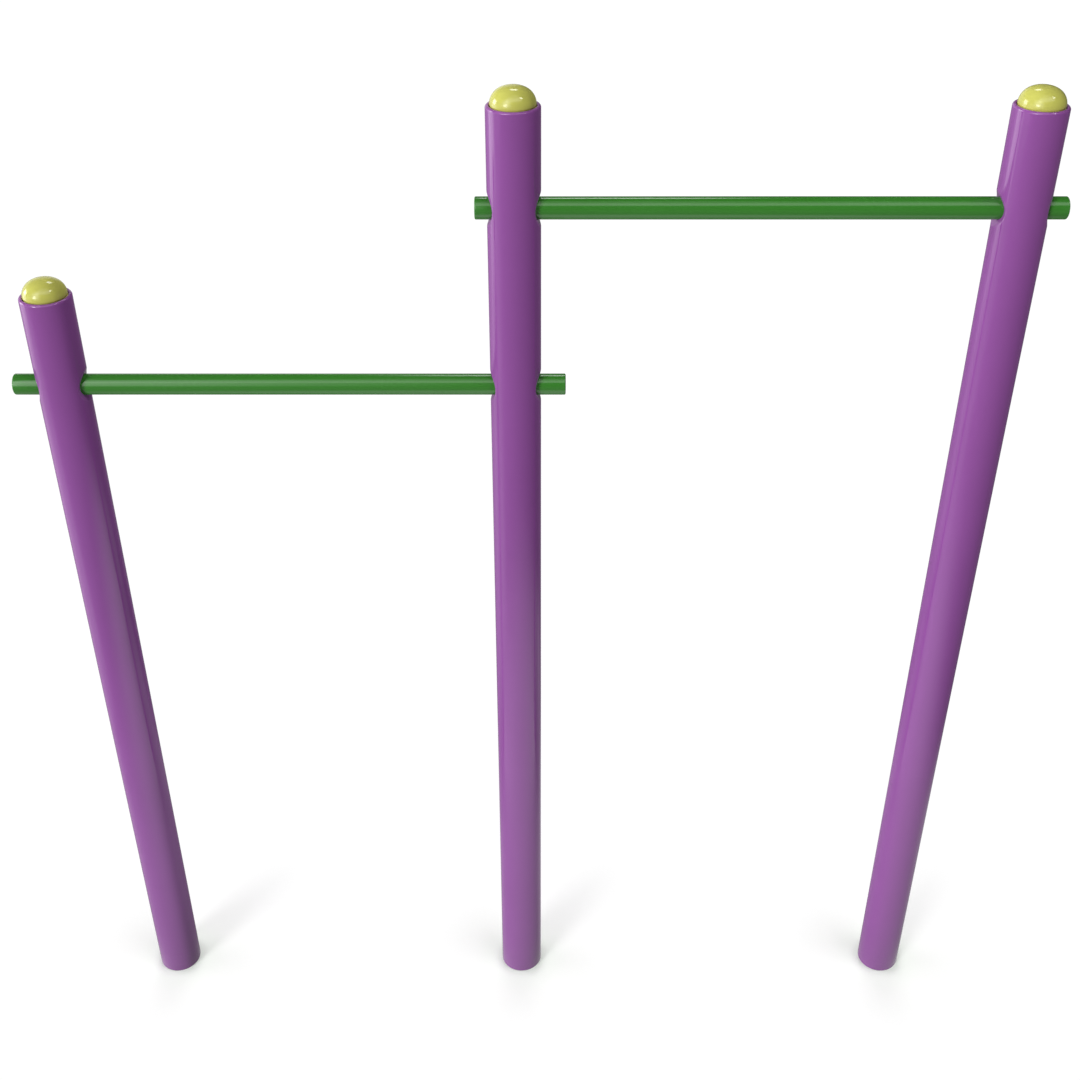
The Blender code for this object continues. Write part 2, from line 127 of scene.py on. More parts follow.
class Graph:
    """Adds nodes to a shader, world or geometry tree and wires them up."""

    def __init__(self, tree: bpy.types.NodeTree) -> None:
        """Starts on an empty tree.

        Args:
            tree: The node tree to fill.
        """
        self.tree = tree
        tree.nodes.clear()

    def feed(self, socket: bpy.types.NodeSocket, value: object) -> None:
        """Links a field or a socket into a socket, or sets its plain value.

        Args:
            socket: The input to feed.
            value: A Field, an output socket, or a value the socket can hold.
        """
        if isinstance(value, Field):
            value = value.socket
        if isinstance(value, bpy.types.NodeSocket):
            self.tree.links.new(value, socket)
        else:
            socket.default_value = value

    def add(self, kind: str, inputs: dict | None = None, **settings: object) -> bpy.types.Node:
        """Adds one node.

        Args:
            kind: The node's type name.
            inputs: Values by socket name or number.
            **settings: The node's own options.

        Returns:
            The new node.
        """
        node = self.tree.nodes.new(kind)
        for name, setting in settings.items():
            setattr(node, name, setting)
        for key, value in (inputs or {}).items():
            self.feed(node.inputs[key], value)
        return node

    def field(self, node: bpy.types.Node, output: str | int = 0) -> Field:
        """One output of a node, as a field."""
        return Field(self, node.outputs[output])

    def math(self, operation: str, first: Value, second: Value = 0.0, third: Value = 0.0) -> Field:
        """A math node on up to three values.

        Args:
            operation: The node's operation.
            first: The first value.
            second: The second value, where the operation takes one.
            third: The third value, where the operation takes one.

        Returns:
            The result.
        """
        node = self.add("ShaderNodeMath", {0: first, 1: second, 2: third}, operation=operation)
        return self.field(node)

    def root(self, value: Value) -> Field:
        """The square root of a value."""
        return self.math("SQRT", value)

    def distance(self, across: Field, along: Field) -> Field:
        """How far off a point is that lies so far across and so far along."""
        return self.root(across * across + along * along)

    def parts(self, vector: Value) -> tuple[Field, Field, Field]:
        """The X, Y and Z of a vector."""
        node = self.add("ShaderNodeSeparateXYZ", {0: vector})
        return self.field(node, 0), self.field(node, 1), self.field(node, 2)

    def carried(self, name: str) -> Field:
        """A number that the mesh carries at each point, for a material."""
        return self.field(self.add("ShaderNodeAttribute", attribute_name=name), "Fac")

    def shader_mix(self, share: Value, first: Field, second: Field) -> Field:
        """A mix of two shaders: the first at a share of 0, the second at 1."""
        return self.field(self.add("ShaderNodeMixShader", {0: share, 1: first, 2: second}))

    def ramp(self, value: Value, low: float, high: float, out_low: float, out_high: float,
             soft: bool = True) -> Field:
        """Maps a stretch of a value onto another stretch and holds it beyond the ends.

        Args:
            value: The value to map.
            low: Where the stretch starts.
            high: Where the stretch ends.
            out_low: The result at its start.
            out_high: The result at its end.
            soft: Whether the way between is rounded off at both ends.

        Returns:
            The mapped value.
        """
        node = self.add(
            "ShaderNodeMapRange",
            {"Value": value, "From Min": low, "From Max": high, "To Min": out_low, "To Max": out_high},
            interpolation_type="SMOOTHSTEP" if soft else "LINEAR",
            clamp=True,
        )
        return self.field(node)

    def noise(self, where: object, scale: float, detail: float = 2.0, roughness: float = 0.5) -> Field:
        """Noise from 0 to 1 on a vector.

        Args:
            where: The vector socket to read.
            scale: Features per metre.
            detail: How many finer layers are added.
            roughness: How strong the finer layers are.

        Returns:
            The noise.
        """
        node = self.add(
            "ShaderNodeTexNoise",
            {"Vector": where, "Scale": scale, "Detail": detail, "Roughness": roughness},
        )
        return self.field(node, "Fac")

    def blend(self, share: Value, first: object, second: object) -> Field:
        """A mix of two colours.

        Args:
            share: How much of the second is in the mix.
            first: A colour, or a field of colour.
            second: A colour, or a field of colour.

        Returns:
            The mixed colour.
        """
        node = self.add("ShaderNodeMix", data_type="RGBA")
        self.feed(node.inputs[MIX_SHARE], share)
        self.feed(node.inputs[MIX_FIRST], first)
        self.feed(node.inputs[MIX_SECOND], second)
        return self.field(node, MIX_RESULT)

    def point(self, x: Value, y: Value, z: Value) -> Field:
        """A vector from three values."""
        return self.field(self.add("ShaderNodeCombineXYZ", {0: x, 1: y, 2: z}))


class ShapeTree(Graph):
    """A geometry tree with named inputs, a chain of steps and a material at its end."""

    def __init__(self, name: str, sizes: Iterable[str], counts: Iterable[str] = ()) -> None:
        """Makes the tree with its inputs.

        Args:
            name: The tree's name.
            sizes: Names of the inputs that are lengths, angles or shares.
            counts: Names of the inputs that are whole numbers.
        """
        super().__init__(bpy.data.node_groups.new(name, "GeometryNodeTree"))
        face = self.tree.interface
        face.new_socket("Geometry", in_out="INPUT", socket_type="NodeSocketGeometry")
        for size in sizes:
            face.new_socket(size, in_out="INPUT", socket_type="NodeSocketFloat")
        for count in counts:
            face.new_socket(count, in_out="INPUT", socket_type="NodeSocketInt")
        face.new_socket("Material", in_out="INPUT", socket_type="NodeSocketMaterial")
        face.new_socket("Geometry", in_out="OUTPUT", socket_type="NodeSocketGeometry")
        self.start = self.add("NodeGroupInput")

    def given(self, name: str) -> Field:
        """One of the tree's named inputs."""
        return self.field(self.start, name)

    def attribute(self, name: str) -> Field:
        """A number that the mesh carries at each point."""
        node = self.add("GeometryNodeInputNamedAttribute", {"Name": name}, data_type="FLOAT")
        return self.field(node, "Attribute")

    def places(self) -> tuple[Field, Field, Field]:
        """The X, Y and Z of each point's place."""
        return self.parts(self.field(self.add("GeometryNodeInputPosition")))

    def sweep(self, path: Field, corners: Value, radius: Value, more: dict | None = None) -> Field:
        """Sweeps a ring along a path.

        Args:
            path: The curve to follow.
            corners: How many points the ring has.
            radius: The ring's radius.
            more: Further inputs of the sweep, by name.

        Returns:
            The swept shape.
        """
        ring = self.add("GeometryNodeCurvePrimitiveCircle", {"Resolution": corners, "Radius": radius})
        inputs = {"Curve": path, "Profile Curve": self.field(ring), **(more or {})}
        return self.field(self.add("GeometryNodeCurveToMesh", inputs))

    def end(self, shape: object) -> None:
        """Realizes what was made, gives it its material and ends the tree.

        Args:
            shape: The geometry to put out.
        """
        real = self.add("GeometryNodeRealizeInstances", {"Geometry": shape})
        dressed = self.add(
            "GeometryNodeSetMaterial", {"Geometry": self.field(real), "Material": self.given("Material")}
        )
        self.add("NodeGroupOutput", {"Geometry": self.field(dressed)})

    def grow(self, name: str, inputs: dict, source: bpy.types.Mesh | None = None) -> bpy.types.Mesh:
        """Runs the tree on a mesh and keeps the result as a plain mesh.

        Args:
            name: Name of the new mesh.
            inputs: Values by the names of the tree's inputs.
            source: The mesh to start from, or None for an empty one.

        Returns:
            The mesh that the tree makes.
        """
        holder = bpy.data.objects.new(name, source or bpy.data.meshes.new(name))
        bpy.context.scene.collection.objects.link(holder)
        modifier = holder.modifiers.new("shape", "NODES")
        modifier.node_group = self.tree
        for item in self.tree.interface.items_tree:
            if item.item_type == "SOCKET" and item.in_out == "INPUT" and item.name in inputs:
                modifier[item.identifier] = inputs[item.name]
        mesh = evaluated_mesh(holder)
        holder.modifiers.clear()
        bpy.data.objects.remove(holder, do_unlink=True)
        mesh.name = name
        return mesh


def evaluated_mesh(holder: bpy.types.Object) -> bpy.types.Mesh:
    """The plain mesh that an object's modifiers give.

    Args:
        holder: The object with the modifiers.

    Returns:
        A new mesh.
    """
    bpy.context.view_layer.update()
    graph = bpy.context.evaluated_depsgraph_get()
    return bpy.data.meshes.new_from_object(holder.evaluated_get(graph))


# Finishes


class Slot(Enum):
    """The record's material slots."""

    POST = "post_purple"
    BAR = "bar_green"
    CAP = "cap_lime"
    PLUG = "plug_green"
    BOLT = "bolt_steel"
    SLUG = "slug_steel"


def painted(colour: Colour, factor: float = 1.0) -> tuple[float, float, float, float]:
    """A colour times a factor, with full alpha."""
    return (*(min(1.0, part * factor) for part in colour), 1.0)


@dataclass(frozen=True)
class Grain:
    """A noise: its features per metre, its finer layers and how strong they are."""

    scale: float
    detail: float
    roughness: float = 0.5

    def on(self, graph: Graph, where: Field) -> Field:
        """The noise on a surface, from 0 to 1."""
        return graph.noise(where, self.scale, self.detail, self.roughness)


@dataclass(frozen=True)
class Patches:
    """A noise in patches: where one starts, where it is full and the share between them."""

    grain: Grain
    starts: float
    full: float
    least: float = 0.0

    def on(self, graph: Graph, where: Field) -> Field:
        """The patches on a surface, from their least share to 1."""
        return graph.ramp(self.grain.on(graph, where), self.starts, self.full, self.least, 1.0)


@dataclass(frozen=True)
class Finish:
    """What every finish has: a name, a colour and how rough it is."""

    name: str
    colour: Colour
    roughness: float

    def start(self) -> tuple[bpy.types.Material, Graph, bpy.types.Node, Field]:
        """An empty material with its shader wired to the output.

        Returns:
            The material, its graph, its shader node and its object coordinates.
        """
        material = bpy.data.materials.new(self.name)
        material.use_nodes = True
        material.diffuse_color = painted(self.colour)
        graph = Graph(material.node_tree)
        shader = graph.add("ShaderNodeBsdfPrincipled")
        graph.add("ShaderNodeOutputMaterial", {"Surface": graph.field(shader)})
        where = graph.field(graph.add("ShaderNodeTexCoord"), "Object")
        return material, graph, shader, where

    def mottled(self, graph: Graph, noise: Field, spread: float) -> Field:
        """The finish's colour in darker and lighter clouds.

        Args:
            graph: The material's graph.
            noise: The noise that the clouds follow.
            spread: How much darker and lighter they get.

        Returns:
            The colour.
        """
        share = graph.ramp(noise, *CLOUD_SPAN, 0.0, 1.0, soft=False)
        return graph.blend(share, painted(self.colour, 1 - spread), painted(self.colour, 1 + spread))

    def relief(self, graph: Graph, shader: bpy.types.Node, height: Field, depth: float) -> None:
        """Presses a relief into the surface.

        Args:
            graph: The material's graph.
            shader: The shader whose normal it turns.
            height: The relief, from 0 to 1.
            depth: Its full depth in metres.
        """
        bump = graph.add("ShaderNodeBump", {"Strength": 1.0, "Distance": depth, "Height": height})
        graph.feed(shader.inputs["Normal"], graph.field(bump))


@dataclass(frozen=True)
class PowderCoat(Finish):
    """Oven-cured paint on steel: an even colour, a faint orange peel, rubbed edges and ground dust."""

    peel: Grain = Grain(420.0, 1.5)
    peel_depth: float = 0.000012
    cloud: Grain = Grain(5.0, 3.0)
    speck: Grain = Grain(900.0, 1.0)
    cloud_part: float = 0.75
    mottle: float = 0.035
    scuffs: Patches = Patches(Grain(160.0, 4.0, 0.6), 0.42, 0.62, 0.25)
    rub_colour: Colour = (0.5, 0.5, 0.5)
    rub_share: float = 0.16
    rub_rough: float = 0.10
    dust: Patches = Patches(Grain(30.0, 5.0, 0.6), 0.35, 0.65, 0.2)
    dust_colour: Colour = (0.40, 0.36, 0.32)
    dust_share: float = 0.012
    dust_height: float = 0.30
    dust_rough: float = 0.08
    smudge: Grain = Grain(14.0, 4.0, 0.55)
    smudge_rough: float = 0.05

    def material(self) -> bpy.types.Material:
        """Builds the finish.

        Returns:
            The material.
        """
        material, graph, shader, where = self.start()
        clouds = self.cloud.on(graph, where) * self.cloud_part
        clouds = clouds + self.speck.on(graph, where) * (1 - self.cloud_part)
        colour = self.mottled(graph, clouds, self.mottle)
        worn = graph.carried("rub") * self.scuffs.on(graph, where)
        colour = graph.blend(worn * self.rub_share, colour, painted(self.rub_colour))
        _, _, height = graph.parts(where)
        settled = graph.ramp(height, 0.0, self.dust_height, 1.0, 0.0)
        dust = settled * self.dust.on(graph, where)
        colour = graph.blend(dust * self.dust_share, colour, painted(self.dust_colour))
        graph.feed(shader.inputs["Base Color"], colour)
        smudge = self.smudge.on(graph, where) * self.smudge_rough
        rough = smudge + worn * self.rub_rough + dust * self.dust_rough
        graph.feed(shader.inputs["Roughness"], rough + (self.roughness - self.smudge_rough / 2))
        shader.inputs["IOR"].default_value = RESIN_IOR
        self.relief(graph, shader, self.peel.on(graph, where), self.peel_depth)
        return material


@dataclass(frozen=True)
class MouldedPlastic(Finish):
    """Moulded plastic: dyed through, with faint flow clouds and the mould's own texture."""

    grain: Grain = Grain(300.0, 2.0)
    grain_depth: float = 0.000010
    flow: Grain = Grain(22.0, 3.0, 0.6)
    cloud: float = 0.03
    marks: Patches = Patches(Grain(240.0, 4.0, 0.65), 0.45, 0.65)
    mark_share: float = 0.10
    mark_bright: float = 1.25
    mark_rough: float = 0.10
    smudge: Grain = Grain(35.0, 3.0)
    smudge_rough: float = 0.06

    def material(self) -> bpy.types.Material:
        """Builds the finish.

        Returns:
            The material.
        """
        material, graph, shader, where = self.start()
        colour = self.mottled(graph, self.flow.on(graph, where), self.cloud)
        marked = graph.carried("rub") * self.marks.on(graph, where)
        colour = graph.blend(marked * self.mark_share, colour, painted(self.colour, self.mark_bright))
        graph.feed(shader.inputs["Base Color"], colour)
        rough = self.smudge.on(graph, where) * self.smudge_rough + marked * self.mark_rough
        graph.feed(shader.inputs["Roughness"], rough + (self.roughness - self.smudge_rough / 2))
        shader.inputs["IOR"].default_value = RESIN_IOR
        self.relief(graph, shader, self.grain.on(graph, where), self.grain_depth)
        return material


@dataclass(frozen=True)
class TurnedSteel(Finish):
    """Bare metal off the lathe: fine rings about its axis, a little tarnish and fine scratches."""

    ring_scale: float = 2400.0
    ring_detail: float = 2.0
    ring_depth: float = 0.000010
    ring_part: float = 0.8
    ring_rough: float = 0.12
    blotches: Patches = Patches(Grain(90.0, 5.0, 0.6), 0.45, 0.75)
    tarnish: Colour = (0.34, 0.33, 0.31)
    tarnish_share: float = 0.35
    tarnish_rough: float = 0.12
    scratch: Grain = Grain(1500.0, 3.0, 0.7)

    def material(self) -> bpy.types.Material:
        """Builds the finish.

        Returns:
            The material.
        """
        material, graph, shader, where = self.start()
        turned = graph.add(
            "ShaderNodeTexNoise",
            {"W": graph.carried("from_axis"), "Scale": self.ring_scale, "Detail": self.ring_detail},
            noise_dimensions="1D",
        )
        rings = graph.field(turned, "Fac")
        blotch = self.blotches.on(graph, where)
        colour = graph.blend(blotch * self.tarnish_share, painted(self.colour), painted(self.tarnish))
        graph.feed(shader.inputs["Base Color"], colour)
        rough = rings * self.ring_rough + blotch * self.tarnish_rough
        graph.feed(shader.inputs["Roughness"], rough + (self.roughness - self.ring_rough / 2))
        shader.inputs["Metallic"].default_value = 1.0
        scratched = self.scratch.on(graph, where) * (1 - self.ring_part)
        self.relief(graph, shader, rings * self.ring_part + scratched, self.ring_depth)
        return material


FINISHES: dict[Slot, Finish] = {
    Slot.POST: PowderCoat(
        "post_purple", (0.262, 0.071, 0.312), 0.09, rub_colour=(0.52, 0.30, 0.58),
    ),
    Slot.BAR: PowderCoat(
        "bar_green", (0.034, 0.195, 0.019), 0.10, rub_colour=(0.16, 0.40, 0.14), dust_share=0.0,
    ),
    Slot.CAP: MouldedPlastic("cap_lime", (0.552, 0.546, 0.112), 0.08),
    Slot.PLUG: MouldedPlastic(
        "plug_green", (0.030, 0.165, 0.026), 0.45, grain=Grain(900.0, 2.0), grain_depth=0.00003
    ),
    Slot.BOLT: TurnedSteel("bolt_steel", (0.56, 0.565, 0.575), 0.28),
    Slot.SLUG: TurnedSteel(
        "slug_steel", (0.43, 0.44, 0.455), 0.45, ring_scale=900.0, tarnish_share=0.5
    ),
}


class Paintbox:
    """Makes each finish once and hands it out by slot."""

    def __init__(self) -> None:
        """Starts with nothing mixed."""
        self.mixed: dict[Slot, bpy.types.Material] = {}

    def get(self, slot: Slot) -> bpy.types.Material:
        """The material of a slot, made the first time that it is asked for.

        Args:
            slot: The record's slot.

        Returns:
            Its material.
        """
        if slot not in self.mixed:
            self.mixed[slot] = FINISHES[slot].material()
        return self.mixed[slot]


# Building meshes


class Skin:
    """A mesh that is laid up ring by ring."""

    def __init__(self) -> None:
        """Starts an empty skin."""
        self.work = bmesh.new()

    def ring(self, points: Iterable[Vector]) -> list[bmesh.types.BMVert]:
        """Adds a ring of points.

        Args:
            points: Their places, in order round the ring.

        Returns:
            The new vertices.
        """
        return [self.work.verts.new(point) for point in points]

    def loft(self, near: Sequence, far: Sequence) -> None:
        """Joins two rings with faces; a ring of one point is a pole.

        Args:
            near: The first ring.
            far: The second ring.
        """
        count = max(len(near), len(far))
        for i in range(count):
            j = (i + 1) % count
            if len(near) == 1:
                corners = (near[0], far[j], far[i])
            elif len(far) == 1:
                corners = (near[i], near[j], far[0])
            else:
                corners = (near[i], near[j], far[j], far[i])
            self.work.faces.new(corners)

    def stack(self, rings: Sequence[Sequence], looped: bool = False) -> None:
        """Joins rings one after the other.

        Args:
            rings: The rings, in order.
            looped: Whether the last one joins the first.
        """
        pairs = list(zip(rings, rings[1:]))
        if looped:
            pairs.append((rings[-1], rings[0]))
        for near, far in pairs:
            self.loft(near, far)

    def take_in(self, mesh: bpy.types.Mesh) -> None:
        """Adds another mesh to the skin."""
        self.work.from_mesh(mesh)
        bpy.data.meshes.remove(mesh)

    def mesh(self, name: str) -> bpy.types.Mesh:
        """Welds the skin, turns its faces outwards and makes it a mesh.

        Args:
            name: The mesh's name.

        Returns:
            The finished mesh.
        """
        bmesh.ops.remove_doubles(self.work, verts=self.work.verts, dist=WELD)
        bmesh.ops.recalc_face_normals(self.work, faces=self.work.faces)
        mesh = bpy.data.meshes.new(name)
        self.work.to_mesh(mesh)
        self.work.free()
        return mesh


def circle(radius: float, height: float, steps: int) -> list[Vector]:
    """Points of a circle about Z; a circle of no radius is one point.

    Args:
        radius: The circle's radius.
        height: Its height.
        steps: How many points it has.

    Returns:
        The points.
    """
    if radius < WELD:
        return [Vector((0.0, 0.0, height))]
    turns = (FULL_TURN * i / steps for i in range(steps))
    return [Vector((radius * math.cos(a), radius * math.sin(a), height)) for a in turns]


def arc(centre_r: float, centre_z: float, radius: float, start: float, end: float,
        steps: int) -> list[tuple[float, float]]:
    """Points of a round stretch of a profile.

    Args:
        centre_r: Distance of its centre from the axis.
        centre_z: Height of its centre.
        radius: Its radius.
        start: Angle of its first point, in degrees.
        end: Angle of its last point, in degrees.
        steps: How many stretches it has.

    Returns:
        (radius, height) of each point.
    """
    angles = [math.radians(start + (end - start) * i / steps) for i in range(steps + 1)]
    return [(centre_r + radius * math.cos(a), centre_z + radius * math.sin(a)) for a in angles]


def turned_rings(skin: Skin, profile: Sequence[tuple[float, float]], steps: int) -> list:
    """Rings for each point of a profile turned about Z."""
    return [skin.ring(circle(r, z, steps)) for r, z in profile]


def off_axis(point: Vector) -> float:
    """How far a point is from Z."""
    return math.hypot(point.x, point.y)


def mark(mesh: bpy.types.Mesh, name: str, rule: Callable[[Vector], float]) -> None:
    """Writes a number at each point of a mesh, which a finish can read.

    Args:
        mesh: The mesh.
        name: The number's name.
        rule: Gives the number from the point's place.
    """
    layer = mesh.attributes.get(name) or mesh.attributes.new(name, "FLOAT", "POINT")
    layer.data.foreach_set("value", [rule(vertex.co) for vertex in mesh.vertices])


def cut_round(mesh: bpy.types.Mesh, holes: Sequence[tuple[Vector, Vector, float]]) -> bpy.types.Mesh:
    """Drills round holes into a mesh.

    Args:
        mesh: The mesh to drill.
        holes: Start, end and radius of each hole.

    Returns:
        The drilled mesh.
    """
    body = bpy.data.objects.new("drilled", mesh)
    bpy.context.scene.collection.objects.link(body)
    cutters = []
    for start, end, radius in holes:
        skin = Skin()
        length = (end - start).length
        profile = [(0, 0), (radius, 0), (radius, length), (0, length)]
        skin.stack(turned_rings(skin, profile, DRILL_STEPS))
        drill = bpy.data.objects.new("drill", skin.mesh("drill"))
        drill.matrix_world = Matrix.Translation(start) @ (
            (end - start).to_track_quat("Z", "Y").to_matrix().to_4x4()
        )
        bpy.context.scene.collection.objects.link(drill)
        cutters.append(drill)
        boolean = body.modifiers.new("drill", "BOOLEAN")
        boolean.operation = "DIFFERENCE"
        boolean.solver = "EXACT"
        boolean.object = drill
    result = evaluated_mesh(body)
    body.modifiers.clear()
    for leftover in (body, *cutters):
        bpy.data.objects.remove(leftover, do_unlink=True)
    welded = bmesh.new()
    welded.from_mesh(result)
    bmesh.ops.remove_doubles(welded, verts=welded.verts, dist=WELD)
    welded.to_mesh(result)
    welded.free()
    return result


def put_up(name: str, mesh: bpy.types.Mesh, slot: Slot, node: str,
           paint: Paintbox) -> bpy.types.Object:
    """Stands a finished mesh in for a CAD node.

    Args:
        name: The piece's name.
        mesh: Its mesh, in place.
        slot: The slot that it takes its finish from.
        node: The CAD node that it replaces.
        paint: The finishes.

    Returns:
        The piece.
    """
    mesh.name = name
    mesh.materials.clear()
    mesh.materials.append(paint.get(slot))
    mesh.shade_smooth()
    mesh.set_sharp_from_angle(angle=math.radians(CREASE))
    piece = bpy.data.objects.new(name, mesh)
    bpy.context.scene.collection.objects.link(piece)
    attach(piece, BODY)
    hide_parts(node)
    LOG.info("%s: %d faces, stands for %s", name, len(mesh.polygons), node)
    return piece


# Sizes they share


@dataclass(frozen=True)
class Tubes:
    """Sizes of the posts and bars that more than one piece needs."""

    post_radius: float = 0.0508
    bore_radius: float = 0.0437
    bar_radius: float = 0.0212
    bar_bore_radius: float = 0.0180
    hole_radius: float = 0.0215
    bolt_radius: float = 0.0050
    bolt_hole_radius: float = 0.0055

    def back_hole(self, x: float, height: float, inner: float,
                  outer: float) -> tuple[Vector, Vector, float]:
        """A bolt's hole through the back wall of a tube.

        Args:
            x: Where it is along the bars.
            height: Its height.
            inner: The radius of the tube's bore.
            outer: The tube's radius.

        Returns:
            The hole's start, end and radius.
        """
        start = Vector((x, inner - DRILL_PAST, height))
        return start, Vector((x, outer + DRILL_PAST, height)), self.bolt_hole_radius


class Level(Enum):
    """The two bars, with the height of each one's axis."""

    LOW = 1.7083
    HIGH = 2.0761


@dataclass(frozen=True)
class Place:
    """Where a post stands, how tall it is and which bars pass through it."""

    name: str
    x: float
    height: float
    levels: tuple[Level, ...]


PLACES = (
    Place("short_post", -0.908, 1.9007, (Level.LOW,)),
    Place("middle_post", 0.0, 2.2685, (Level.LOW, Level.HIGH)),
    Place("tall_post", 0.947, 2.2685, (Level.HIGH,)),
)


@dataclass(frozen=True)
class DishRule:
    """How a hole's mouth is drawn in: its reach, its land and the roundness of its slope."""

    reach_above: float = 0.0127
    reach_beside: float = 0.0107
    land: float = 0.0015
    fullness: float = 1.15
    run_out: float = 1.2
    edge_round: float = 0.0006

    def reach(self, angle: float) -> float:
        """How far the dish reaches from the hole at an angle from straight up."""
        return self.reach_above + (self.reach_beside - self.reach_above) * math.sin(angle) ** 2

    def tree(self) -> ShapeTree:
        """The tree that moves each marked point of a post onto its dish.

        Returns:
            The tree.
        """
        tree = ShapeTree(
            "dished_mouths",
            ("Post Radius", "Bore Radius", "Hole Radius", "Reach Above", "Reach Beside", "Land",
             "Fullness", "Edge Round", "Post X"),
        )
        station = tree.attribute("station")
        angle = tree.attribute("turn")
        side = tree.attribute("side")
        level = tree.attribute("level")
        sine = tree.math("SINE", angle)
        above = tree.given("Reach Above")
        reach = above + (tree.given("Reach Beside") - above) * sine * sine
        hole = tree.given("Hole Radius")
        ring = hole + station * reach

        def surface(tube: Field, across: Field) -> Field:
            """How far out a tube's surface lies beside a ring."""
            return tree.root(tube * tube - (across * sine) ** 2.0)

        throat = surface(tree.given("Bore Radius"), hole) + tree.given("Land")
        skin = surface(tree.given("Post Radius"), ring)
        deepest = surface(tree.given("Post Radius"), hole) - throat
        rest = 1.0 - station
        bent = tree.math("SIGN", rest) * abs(rest) ** tree.given("Fullness")
        slope = 1.0 - (1.0 - bent) ** (1.0 / tree.given("Fullness"))
        reach_x = tree.math("SMOOTH_MIN", skin, skin - deepest * slope, tree.given("Edge Round"))
        place = tree.point(
            tree.given("Post X") + side * reach_x,
            ring * sine,
            level + ring * tree.math("COSINE", angle),
        )
        marked = tree.add(
            "FunctionNodeCompare", {"A": station, "B": OFF_DISH / 2}, data_type="FLOAT",
            operation="GREATER_THAN",
        )
        moved = tree.add(
            "GeometryNodeSetPosition",
            {
                "Geometry": tree.field(tree.start, "Geometry"),
                "Selection": tree.field(marked),
                "Position": place,
            },
        )
        tree.end(tree.field(moved))
        return tree


# The pieces


